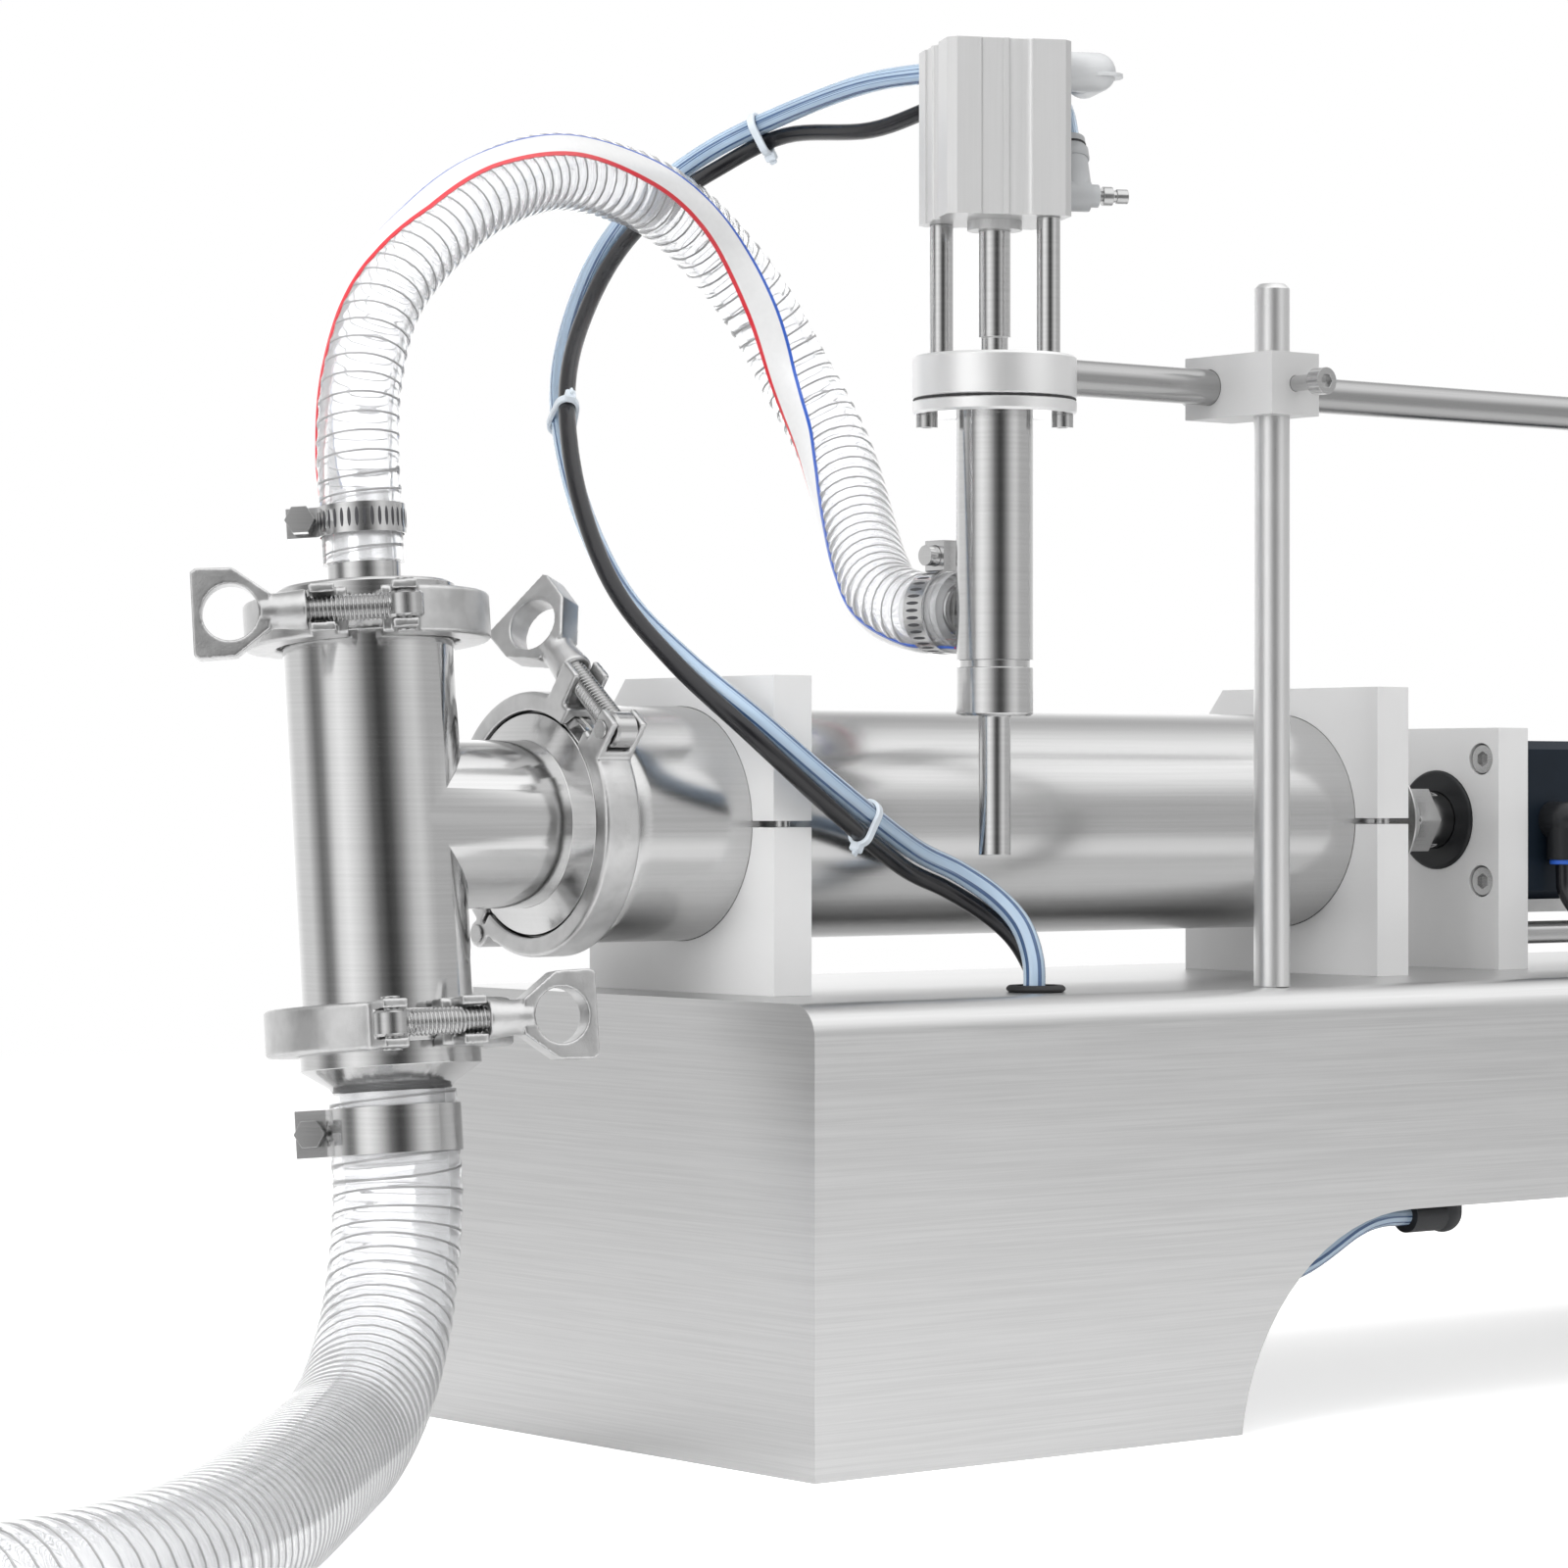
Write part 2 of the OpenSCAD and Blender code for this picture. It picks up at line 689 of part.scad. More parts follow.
module saddle_cap(s) difference() {
    saddle_blank(s);
    saddle_bore(s);
    at_s(s - cut) translate([0, -saddle_w, base_height - cut])
        cube([saddle_t + 2 * cut, 2 * saddle_w, axis_rise + saddle_slit / 2 + cut]);
    at_s(s - cut) translate([0, saddle_w / 2, base_height + saddle_h])
        rotate([90, 0, 90]) linear_extrude(saddle_t + 2 * cut)
            polygon([[cut, cut], [-cap_chamfer_y, cut], [-cap_chamfer_y, 0], [0, -cap_chamfer_z],
                [cut, -cap_chamfer_z]]);
    saddle_screws_cut(s, m5_r + fit, axis_z, saddle_h);
    saddle_screws_cut(s, cap_bore_r, base_height + saddle_h - cap_rear_seat, saddle_h);
}
module saddles() color("gainsboro") {
    saddle(saddle_inset);
    saddle(saddle2_s);
}
module saddle_caps() color("gainsboro") {
    saddle_cap(saddle_inset);
    saddle_cap(saddle2_s);
}

// Screws: M5 in the saddle caps, M6 in the saddle feet, mount feet and mount faces
module block_screws() color("dimgray") {
    seat_z = base_height + saddle_h - cap_rear_seat;
    cap_len = seat_z - axis_z + m6_len - cut;
    for (s = [saddle_inset, saddle2_s], side = [-1, 1])
        at_s(s + saddle_t / 2) translate([0, side * saddle_screw_y, seat_z - cap_len])
            socket_screw(m5_r, cap_len, m5_head_r, m5_head_h);
    for (s = [saddle_inset, saddle2_s], side = [-1, 1])
        at_s(s + saddle_t / 2) translate([0, side * saddle_foot_y, base_height - base_sheet + m6_len])
            rotate([180, 0, 0]) socket_screw(m6_r, m6_len, m6_head_r, m6_head_h);
    for (s = [mount_s, air_s1], side = [-1, 1])
        at_s(s + mount_t / 2) translate([0, side * mount_foot_y, base_height - base_sheet + m6_len])
            rotate([180, 0, 0]) socket_screw(m6_r, m6_len, m6_head_r, m6_head_h);
    for (y = [-mount_screw_y, mount_screw_y], z = [-mount_screw_z, mount_screw_z]) {
        on_axis(mount_s + m6_head_h + mount_screw_len) translate([-z, y, 0]) rotate([180, 0, 0])
            socket_screw(m6_r, mount_screw_len, m6_head_r, m6_head_h - edge);
        on_axis(air_s1 + mount_t - m6_head_h - mount_screw_len) translate([-z, y, 0])
            socket_screw(m6_r, mount_screw_len, m6_head_r, m6_head_h - edge);
    }
}

// Product cylinder: tube, cone and the flange that the branch clamp holds
module flange_back(r, open_r, side) {
    // Outline of half a ferrule from its face at 0, growing towards side
    polygon([[tee_bore_r, 0], [r, 0], [r, side * ferrule_rim],
        [open_r, side * (ferrule_rim + ferrule_back)], [tee_bore_r, side * (ferrule_rim + ferrule_back)]]);
}
module product_cylinder() color("lightgray") {
    face = side_clamp_s + gasket_t / 2;
    neck = side_clamp_s + side_clamp_h / 2;
    on_axis(0) rotate_extrude($fn = 96) polygon([[tee_bore_r, face], [side_ferrule_r, face],
        [side_ferrule_r, face + ferrule_rim], [side_neck_r, face + ferrule_rim + ferrule_back],
        [side_neck_r, neck + loose], [cyl_r, cyl_s0], [cyl_r, cyl_s1 - edge],
        [cyl_r - edge, cyl_s1], [bore_r, cyl_s1], [bore_r, cyl_s0 + end_wall],
        [tee_bore_r, cyl_s0 + end_wall]]);
}

// Tee: a vertical tube and a branch, each end with its ferrule
module tee_tube(r, over) {
    on_tee(-tee_arm - over + gasket_t / 2) cylinder(r = r, h = 2 * (tee_arm + over) - gasket_t);
    rotate_branch() cylinder(r = r, h = tee_reach + side_clamp_s - gasket_t / 2 + over);
}
module rotate_branch() {
    translate([base_left - tee_reach, 0, axis_z]) rotate([0, 90, 0]) children();
}
module tee_body() color("lightgray") {
    face = tee_arm - gasket_t / 2;
    difference() {
        union() {
            tee_tube(tee_r, 0);
            on_tee(face) rotate_extrude() flange_back(ferrule_r, clamp_open_r, -1);
            on_tee(-face) rotate_extrude() flange_back(ferrule_r, clamp_open_r, 1);
            on_axis(0) rotate_extrude() polygon([[tee_bore_r, branch_weld_s], [tee_r, branch_weld_s],
                [side_neck_r, side_clamp_s - side_clamp_h / 2 + edge],
                [side_neck_r, side_clamp_s - gasket_t / 2 - ferrule_rim - ferrule_back],
                [side_ferrule_r, side_clamp_s - gasket_t / 2 - ferrule_rim],
                [side_ferrule_r, side_clamp_s - gasket_t / 2],
                [tee_bore_r, side_clamp_s - gasket_t / 2]]);
        }
        tee_tube(tee_bore_r, cut);
    }
}
module ferrule_gaskets() color("white") {
    for (at = [-tee_arm, tee_arm])
        on_tee(at - gasket_t / 2) ring(ferrule_r, tee_bore_r, gasket_t);
    on_axis(side_clamp_s - gasket_t / 2) ring(side_ferrule_r, tee_bore_r, gasket_t);
}

// Hose adapters on the tee's two ends
module outlet_adapter() color("lightgray") on_tee() difference() {
    union() {
        face = tee_arm + gasket_t / 2;
        rotate_extrude() translate([0, face]) polygon([[0, 0], [ferrule_r, 0], [ferrule_r, ferrule_rim],
            [boss_r, ferrule_rim + ferrule_back], [boss_r, outlet_boss_top - face - edge],
            [boss_r - edge, outlet_boss_top - face], [outlet_neck_r + edge, outlet_boss_top - face],
            [outlet_neck_r, outlet_boss_top - face + edge], [outlet_neck_r, outlet_neck_top - face],
            [0, outlet_neck_top - face]]);
        rotate_extrude() translate([0, outlet_neck_top]) barb_outline(discharge_bore_r - loose,
            outlet_barb_top - outlet_neck_top);
    }
    translate([0, 0, tee_arm - cut]) cylinder(r = outlet_bore_r, h = outlet_barb_top);
    translate([0, 0, tee_arm + gasket_t / 2 - fit])
        cylinder(r1 = pillar_at, r2 = outlet_bore_r, h = outlet_boss_top - tee_arm - ferrule_rim);
}
module barb_outline(r, len) {
    teeth = floor(len / barb_step);
    polygon(concat([[0, 0]], [for (i = [0 : teeth - 1], tip = [0, 1])
        tip == 0 ? [r, i * len / teeth] : [r - barb_ridge, (i + tooth_share) * len / teeth]],
        [[r - barb_ridge, len], [0, len]]));
}
module inlet_adapter() color("lightgray") on_tee() mirror([0, 0, 1]) difference() {
    union() {
        face = tee_arm + gasket_t / 2;
        rotate_extrude() translate([0, face]) polygon([[0, 0], [ferrule_r, 0], [ferrule_r, ferrule_rim],
            [boss_r, ferrule_rim + ferrule_back], [boss_r, inlet_boss_end - face],
            [inlet_neck_r + edge, inlet_cone_end - face], [inlet_neck_r, inlet_neck_end - face],
            [0, inlet_neck_end - face]]);
        rotate_extrude() translate([0, inlet_neck_end]) barb_outline(suction_bore_r - loose,
            inlet_barb_end - inlet_neck_end);
    }
    translate([0, 0, tee_arm - cut]) cylinder(r = inlet_bore_r, h = inlet_barb_end);
}

// Check valves: a cage with seat, pillars and bridge, a poppet and its spring
inlet_cage_z = -tee_arm - gasket_t / 2;
outlet_cage_z = tee_arm + gasket_t / 2 - cage_h;
module valve_cage(z) {
    on_tee(z) difference() {
        union() {
            cylinder(r = cage_r, h = seat_h);
            translate([0, 0, cage_h - bridge_h]) cylinder(r = cage_r, h = bridge_h);
            for (a = [0 : 120 : 240]) rotate([0, 0, a]) translate([pillar_at, 0, 0])
                cylinder(r = pillar_r, h = cage_h);
        }
        translate([0, 0, -cut]) cylinder(r = seat_bore_r, h = seat_h + 2 * cut);
        translate([0, 0, cage_h - bridge_h - cut]) cylinder(r = stem_r + run, h = bridge_h + 2 * cut);
        for (a = [60 : 120 : 300]) rotate([0, 0, a]) translate([seat_bore_r, 0, cage_h - bridge_h - cut])
            cylinder(r = bridge_h + stem_r / 2, h = bridge_h + 2 * cut);
    }
}
module poppet(z) {
    on_tee(z + seat_h) rotate_extrude() polygon([[0, 0], [poppet_r - edge, 0], [poppet_r, edge],
        [poppet_r, poppet_h], [stem_r, poppet_h], [stem_r, cage_h - seat_h + edge],
        [0, cage_h - seat_h + edge]]);
}
spring_len = cage_h - seat_h - poppet_h - bridge_h - 2 * spring_wire_r - 2 * fit;
spring_line = [for (i = [0 : spring_turns * spring_rings]) let (a = 360 * i / spring_rings)
    [spring_r * cos(a), spring_r * sin(a), spring_len * i / (spring_turns * spring_rings)]];
spring_gap = min([for (i = [0 : len(spring_line) - 1],
    j = [i + spring_rings - 1 : 1 : min(i + spring_rings + 1, len(spring_line) - 1)])
    norm(spring_line[j] - spring_line[i])]) - 2 * spring_wire_r;
echo("least gap between the curls of a valve spring, mm", spring_gap);
module valve_spring(z) {
    on_tee(z + seat_h + poppet_h + spring_wire_r + fit)
        solid_tube(spring_line, spring_wire_r, spring_sides, [0, 0, 1]);
}
module valve_cages() color("silver") {
    valve_cage(inlet_cage_z);
    valve_cage(outlet_cage_z);
}
module outlet_poppet() color("whitesmoke") poppet(outlet_cage_z);
module outlet_spring() color("gray") valve_spring(outlet_cage_z);
module inlet_poppet() color("whitesmoke") poppet(inlet_cage_z);
module inlet_spring() color("gray") valve_spring(inlet_cage_z);

// Clamps: two half rings on a hinge pin, an eye bolt on a second pin, and a wing nut
module clamp_profile(r_out, r_open, r_groove, h) {
    rim = gasket_t / 2 + ferrule_rim + fit;
    polygon([[r_open, -h / 2], [r_out - edge, -h / 2], [r_out, edge - h / 2], [r_out, h / 2 - edge],
        [r_out - edge, h / 2], [r_open, h / 2], [r_open, rim + ferrule_back], [r_groove, rim],
        [r_groove, -rim], [r_open, -rim - ferrule_back]]);
}
module lug(r, r_groove, h, side) {
    // A fork at the gap that takes the bolt between its two prongs
    inner = max(sqrt(r * r - pow(lug_y + lug_t / 2, 2)) - edge,
        sqrt(pow(r_groove + slot_clear, 2) - pow(lug_y - lug_t / 2, 2)));
    difference() {
        translate([inner, side * lug_y - lug_t / 2, -h / 2]) cube([r + lug_out - inner, lug_t, h]);
        translate([r + bolt_out - eye_r - slot_clear, side * lug_y - lug_t, -eye_bolt_d / 2 - slot_clear])
            cube([lug_out + eye_r, 2 * lug_t, eye_bolt_d + 2 * slot_clear]);
    }
}
module clamp_halves(r_out, r_open, r_groove, h) {
    hinge_x = -r_out - knuckle_out;
    knuckle_shares = [[1, -1 / 2, -1 / 6], [1, 1 / 6, 1 / 2], [-1, -1 / 6, 1 / 6]];
    for (side = [1, -1]) difference() {
        union() {
            difference() {
                rotate_extrude() clamp_profile(r_out, r_open, r_groove, h);
                translate([-2 * r_out, side > 0 ? -2 * r_out : 0, -h])
                    cube([4 * r_out, 2 * r_out, 2 * h]);
                translate([0, -clamp_gap / 2, -h]) cube([2 * r_out, clamp_gap, 2 * h]);
                translate([-2 * r_out, -hinge_slit / 2, -h]) cube([2 * r_out, hinge_slit, 2 * h]);
                translate([hinge_x, 0, -h]) cylinder(r = knuckle_r + loose, h = 2 * h);
            }
            lug(r_out, r_groove, h, side);
            for (p = knuckle_shares) if (p[0] == side) {
                low = p[1] * h + (p[1] > -1 / 2 ? loose / 2 : 0);
                high = p[2] * h - (p[2] < 1 / 2 ? loose / 2 : 0);
                translate([0, 0, low]) linear_extrude(high - low) union() {
                    translate([hinge_x, 0]) circle(knuckle_r);
                    translate([hinge_x, side > 0 ? 0 : -knuckle_r]) square([knuckle_r, knuckle_r]);
                    intersection() {
                        difference() {
                            circle(r_out);
                            circle(r_groove + edge);
                        }
                        translate([-r_out, side > 0 ? hinge_slit / 2 : -2 * knuckle_r])
                            square([r_out, 2 * knuckle_r - hinge_slit / 2]);
                    }
                }
            }
        }
        translate([hinge_x, 0, -h]) cylinder(r = pin_r + run, h = 2 * h);
        if (side > 0) translate([r_out + bolt_out, lug_y, -h]) cylinder(r = pin_r + run, h = 2 * h);
    }
}
module clamp_pin_pair(r, h) {
    head = pin_r + edge;
    for (at = [[-r - knuckle_out, 0], [r + bolt_out, lug_y]]) translate([at[0], at[1], -h / 2])
        rotate_extrude() polygon([[0, -edge], [head, -edge], [head, 0], [pin_r, 0], [pin_r, h],
            [head, h], [head, h + edge], [0, h + edge]]);
}
bolt_shank = 2 * lug_y + lug_t / 2 + nut_gap + nut_thread_depth - 2 * edge;
module eye_bolt(r) {
    // The eye sits on the pin, and the shank runs past the other fork into the nut
    translate([r + bolt_out, lug_y, 0]) difference() {
        union() {
            translate([0, 0, -eye_h / 2]) cylinder(r = eye_r, h = eye_h);
            rotate([90, 0, 0]) cylinder(r = eye_bolt_d / 2, h = bolt_shank);
        }
        translate([0, 0, -eye_bolt_d]) cylinder(r = pin_r + run, h = 2 * eye_bolt_d);
    }
}
module wing_nut(r, turn = 0) {
    // A threaded neck that grows into a flat ring; its face stays just off the fork
    face = lug_y + lug_t / 2 + nut_gap;
    hole_at = nut_neck_len + wing_hole_inset;
    translate([r + bolt_out, -face, 0]) rotate([0, turn, 0]) difference() {
        union() {
            rotate([90, 0, 0]) rotate_extrude() polygon([[0, 0], [nut_neck_r - edge / 2, 0],
                [nut_neck_r, edge / 2], [nut_waist_r, nut_neck_len * 2 / 3],
                [nut_waist_r, nut_neck_len + edge], [0, nut_neck_len + edge]]);
            rotate([0, -90, 0]) rotate([0, 0, 180]) linear_extrude(nut_plate_t, center = true)
                polygon([for (p = plate_shares) [p[0] * nut_plate_w / 2,
                    nut_neck_len - nut_lap + p[1] * nut_plate_len]]);
        }
        translate([0, cut, 0]) rotate([90, 0, 0])
            cylinder(r = eye_bolt_d / 2 + run, h = nut_thread_depth + cut);
        translate([-nut_plate_t, -hole_at, 0]) rotate([0, 90, 0])
            cylinder(r = wing_hole_d / 2, h = 2 * nut_plate_t);
    }
}
module top_clamp_halves() color("silver") on_top_clamp()
    clamp_halves(clamp_r, clamp_open_r, ferrule_r + loose, clamp_h);
module side_clamp_halves() color("silver") on_side_clamp()
    clamp_halves(side_clamp_r, side_open_r, side_ferrule_r + loose, side_clamp_h);
module bottom_clamp_halves() color("silver") on_bottom_clamp()
    clamp_halves(clamp_r, clamp_open_r, ferrule_r + loose, clamp_h);
module clamp_pins() color("silver") {
    on_top_clamp() clamp_pin_pair(clamp_r, clamp_h);
    on_side_clamp() clamp_pin_pair(side_clamp_r, side_clamp_h);
    on_bottom_clamp() clamp_pin_pair(clamp_r, clamp_h);
}
module top_eye_bolt() color("silver") on_top_clamp() eye_bolt(clamp_r);
module side_eye_bolt() color("silver") on_side_clamp() eye_bolt(side_clamp_r);
module bottom_eye_bolt() color("silver") on_bottom_clamp() eye_bolt(clamp_r);
module top_wing_nut() color("silver") on_top_clamp() wing_nut(clamp_r);
module side_wing_nut() color("silver") on_side_clamp() wing_nut(side_clamp_r, side_nut_turn);
module bottom_wing_nut() color("silver") on_bottom_clamp() wing_nut(clamp_r);

// Product piston, its seals and the coupling to the air cylinder's rod
piston_s1 = cyl_s1 - piston_inset;
piston_s0 = piston_s1 - piston_len;
seal_places = [piston_s0 + piston_len / 4, piston_s1 - piston_len / 4];
module product_piston() color("whitesmoke") on_axis(piston_s0) difference() {
    bevelled(bore_r - loose, piston_len);
    for (s = seal_places) translate([0, 0, s - piston_s0 - seal_t / 2])
        ring(bore_r + cut, bore_r - seal_t, seal_t);
    translate([0, 0, piston_len - rod_in_piston]) cylinder(r = rod_end_r + fit, h = piston_len);
}
module piston_seals() color("dimgray") {
    for (s = seal_places) on_axis(s - seal_t / 2) ring(bore_r - run, bore_r - seal_t + run, seal_t);
}
module rod_coupling() color("silver") {
    rod_s = piston_s1 - rod_in_piston;
    nut_s = cone_s + cone_len;
    difference() {
        union() {
            on_axis(rod_s) cylinder(r = rod_end_r, h = cone_s - rod_s + cut);
            on_axis(cone_s) rotate_extrude() polygon([[0, 0], [cone_big_r, 0], [cone_big_r, edge],
                [cone_small_r + edge, cone_len / 2], [cone_small_r, cone_len], [0, cone_len]]);
            on_axis(nut_s) rotate([0, 0, 30]) cylinder(r = coupling_nut_r, h = coupling_nut_h, $fn = hex_fn);
        }
        on_axis(nut_s - cut) cylinder(r = rod_end_r + fit, h = coupling_nut_h + 2 * cut);
    }
}
air_piston_s1 = air_s1 - air_cap_len - end_wall;
module air_piston_rod() color("silver") difference() {
    union() {
        on_axis(cone_s + cone_len + fit) cylinder(r = rod_end_r, h = coupling_nut_h);
        on_axis(cone_s + cone_len + coupling_nut_h) cylinder(r = air_rod_r,
            h = air_piston_s1 - cone_s - cone_len - coupling_nut_h);
        on_axis(air_piston_s1 - air_piston_t) bevelled(air_w / 2 - air_wall - loose, air_piston_t);
    }
    // Two flats for a spanner, next to the nut
    for (side = [-1, 1]) on_axis(cone_s + cone_len + coupling_nut_h)
        translate([side > 0 ? coupling_flat / 2 : -air_rod_d - coupling_flat / 2, -air_rod_d, edge])
            cube([air_rod_d, 2 * air_rod_d, coupling_nut_h / 2]);
}

// Air cylinder on its two mounts
module mount_block(s, bored) difference() {
    at_s(s) translate([0, -mount_w / 2, base_height]) cube([mount_t, mount_w, mount_h]);
    if (bored) on_axis(s - cut) cylinder(r = gland_r + fit, h = mount_t + 2 * cut);
    for (y = [-mount_screw_y, mount_screw_y], z = [-mount_screw_z, mount_screw_z]) {
        on_axis(s - cut) translate([-z, y, 0]) cylinder(r = m6_r + fit, h = mount_t + 2 * cut);
        on_axis(bored ? s - cut : s + mount_t - m6_head_h) translate([-z, y, 0])
            cylinder(r = counterbore_r, h = m6_head_h + cut);
    }
    for (side = [-1, 1]) at_s(s + mount_t / 2) translate([0, side * mount_foot_y, base_height - cut])
        cylinder(r = m6_r + run, h = m6_len - base_sheet + cut + edge);
    // The adjusting screw ends half way into the bored mount
    screw_from = bored ? mount_t / 2 - edge : -cut;
    at_s(s + screw_from) translate([0, rail_y, screw_z]) rotate([0, 90, 0])
        cylinder(r = screw_r + run, h = mount_t + cut - screw_from);
}
module air_mounts() color("gainsboro") {
    mount_block(mount_s, true);
    mount_block(air_s1, false);
}
module rod_gland() color("#20242a") on_axis(mount_s - gland_proud) {
    difference() {
        bevelled(gland_r, mount_t + gland_proud);
        translate([0, 0, -cut]) cylinder(r = air_rod_r + run, h = 2 * mount_t);
    }
}
module square_prism(w, h, bevel) {
    linear_extrude(h) polygon([[w / 2 - bevel, w / 2], [bevel - w / 2, w / 2], [-w / 2, w / 2 - bevel],
        [-w / 2, bevel - w / 2], [bevel - w / 2, -w / 2], [w / 2 - bevel, -w / 2],
        [w / 2, bevel - w / 2], [w / 2, w / 2 - bevel]]);
}
module air_barrel() color("#27384b") on_axis(air_s0 + air_cap_len) difference() {
    square_prism(air_w - 2 * edge, air_barrel_len, air_wall);
    translate([0, 0, -cut]) cylinder(r = air_w / 2 - air_wall, h = air_barrel_len + 2 * cut);
}
module air_cap(s, bored) {
    on_axis(s) difference() {
        square_prism(air_w, air_cap_len, air_wall);
        if (bored) translate([0, 0, -cut]) cylinder(r = air_rod_r + loose, h = air_cap_len + 2 * cut);
        for (y = [-mount_screw_y, mount_screw_y], z = [-mount_screw_z, mount_screw_z])
            translate([-z, y, bored ? -cut : air_cap_len - mount_screw_len])
                cylinder(r = m6_r + run, h = mount_screw_len + cut);
        translate([0, edge + elbow_base_h - air_w / 2, air_cap_len / 2]) rotate([90, 0, 0])
            cylinder(r = elbow_r - 2 * edge + fit, h = elbow_base_h + 2 * edge);
    }
}
module air_cylinder_caps() color("#1d2b3a") {
    air_cap(air_s0, true);
    air_cap(air_s1 - air_cap_len, false);
}

// Rail, sensor carriage and handwheel that set the stroke
rail_top = axis_z - air_w / 2;
module sensor_rail() color("silver") at_s(air_s0) translate([0, rail_y - rail_w / 2, rail_top - rail_h])
    difference() {
        cube([air_s1 - air_s0, rail_w, rail_h]);
        translate([-cut, rail_w / 3, -cut]) cube([air_s1 - air_s0 + 2 * cut, rail_w / 3, rail_h / 2 + cut]);
    }
carriage_s = air_s1 - carriage_inset;
module sensor_carriage() color("whitesmoke") at_s(carriage_s) difference() {
    translate([0, rail_y - carriage_w / 2, rail_top - rail_h - loose - carriage_h])
        cube([carriage_len, carriage_w, carriage_h]);
    translate([-cut, rail_y, screw_z]) rotate([0, 90, 0])
        cylinder(r = screw_r + run, h = carriage_len + 2 * cut);
}
module handwheel() color("#202020") {
    wheel_s = base_len + wheel_gap;
    at_s(air_s0 - mount_t / 2) translate([0, rail_y, screw_z]) rotate([0, 90, 0])
        cylinder(r = screw_r, h = wheel_s + edge - air_s0 + mount_t / 2);
    at_s(wheel_s) translate([0, rail_y, screw_z]) rotate([0, 90, 0]) difference() {
        bevelled(wheel_r, wheel_t, 2 * edge);
        for (a = [0 : 30 : 330]) rotate([0, 0, a]) translate([wheel_r + edge, 0, -cut])
            cylinder(r = 3 * edge, h = wheel_t + 2 * cut);
    }
}

// Swivel elbows in the air cylinder's caps
module elbow_body() {
    translate([0, 0, -elbow_base_h]) cylinder(r = elbow_r - 2 * edge, h = elbow_base_h + edge);
    cylinder(r = elbow_r, h = elbow_h / 2);
    translate([0, 0, elbow_h / 2]) sphere(r = elbow_r);
    translate([0, 0, elbow_h / 2]) rotate([0, 90, 0])
        ring(elbow_collar_r, black_tube_d / 2 + fit, elbow_collar_h);
    translate([0, 0, elbow_h / 2]) rotate([0, 90, 0]) cylinder(r = elbow_collar_r, h = elbow_r);
}
module cylinder_elbows() color("#161616") {
    for (s = [air_s0 + air_cap_len / 2, air_s1 - air_cap_len / 2])
        on_axis(s) translate([0, -air_w / 2, 0]) rotate([90, 0, 0]) elbow_body();
}
module grommets() color("#161616") {
    for (at = grommet_places) at_s(at[0]) translate([0, at[1], base_height]) difference() {
            union() {
                bevelled(grommet_rim_r, grommet_rim_h);
                translate([0, 0, -base_sheet]) cylinder(r = grommet_hole_r - fit, h = base_sheet + edge);
                translate([0, 0, -base_sheet - grommet_rim_h]) cylinder(r = grommet_rim_r, h = grommet_rim_h);
            }
            translate([0, 0, -base_height]) cylinder(r = grommet_bore_r, h = 2 * base_height);
        }
}

// Post, arm and the cross clamp that joins them
module post() color("silver") {
    at_s(post_s) translate([0, post_y, base_height]) {
        bevelled(post_r, post_h, post_top_r);
        translate([0, 0, -spigot_h]) cylinder(r = spigot_r, h = spigot_h + post_top_r);
        cylinder(r = post_r, h = 2 * post_top_r);
        translate([0, 0, -base_sheet - spigot_nut_gap - spigot_nut_h])
            cylinder(r = spigot_nut_r, h = spigot_nut_h, $fn = hex_fn);
    }
}
module along_arm(s) {
    translate([base_left + s, nozzle_y, arm_z]) rotate([0, 90, 0]) children();
}
arm_s0 = nozzle_s + flange_r - arm_in_flange;
arm_s1 = post_s + cross_t / 2 + arm_tail;
module arm_rod() color("silver") along_arm(arm_s0) bevelled(post_r, arm_s1 - arm_s0);
cross_y0 = post_y - post_r - cross_margin;
cross_y1 = nozzle_y + post_r + cross_margin;
module cross_clamp() color("gainsboro") difference() {
    at_s(post_s - cross_t / 2) translate([0, cross_y0, arm_z - cross_h / 2])
        cube([cross_t, cross_y1 - cross_y0, cross_h]);
    at_s(post_s) translate([0, post_y, arm_z - cross_h]) cylinder(r = post_r + run, h = 2 * cross_h);
    along_arm(post_s - cross_t) cylinder(r = post_r + fit, h = 2 * cross_t);
    at_s(post_s) translate([0, post_y, arm_z]) rotate([90, 0, 0]) cylinder(r = m5_r + fit, h = cross_h);
    at_s(post_s) translate([0, nozzle_y, arm_z]) rotate([-90, 0, 0]) cylinder(r = m5_r + fit, h = cross_h);
}
module arm_screws() color("gray") {
    tip = post_r + fit;
    at_s(post_s) translate([0, post_y - tip, arm_z]) rotate([90, 0, 0])
        socket_screw(m5_r, cross_margin - fit + cross_screw_len - m5_head_h, m5_head_r, m5_head_h);
    at_s(post_s) translate([0, nozzle_y + tip, arm_z]) rotate([-90, 0, 0])
        socket_screw(m5_r, cross_margin + m5_head_h, m5_head_r, m5_head_h);
    for (side = [0, 180]) on_nozzle(flange_z + flange_screw_grip) rotate([0, 0, flange_screw_turn + side])
        translate([flange_screw_at, 0, 0]) rotate([180, 0, 0])
            socket_screw(m4_r, plate_h + flange_screw_grip, m4_head_r, m4_head_h);
}

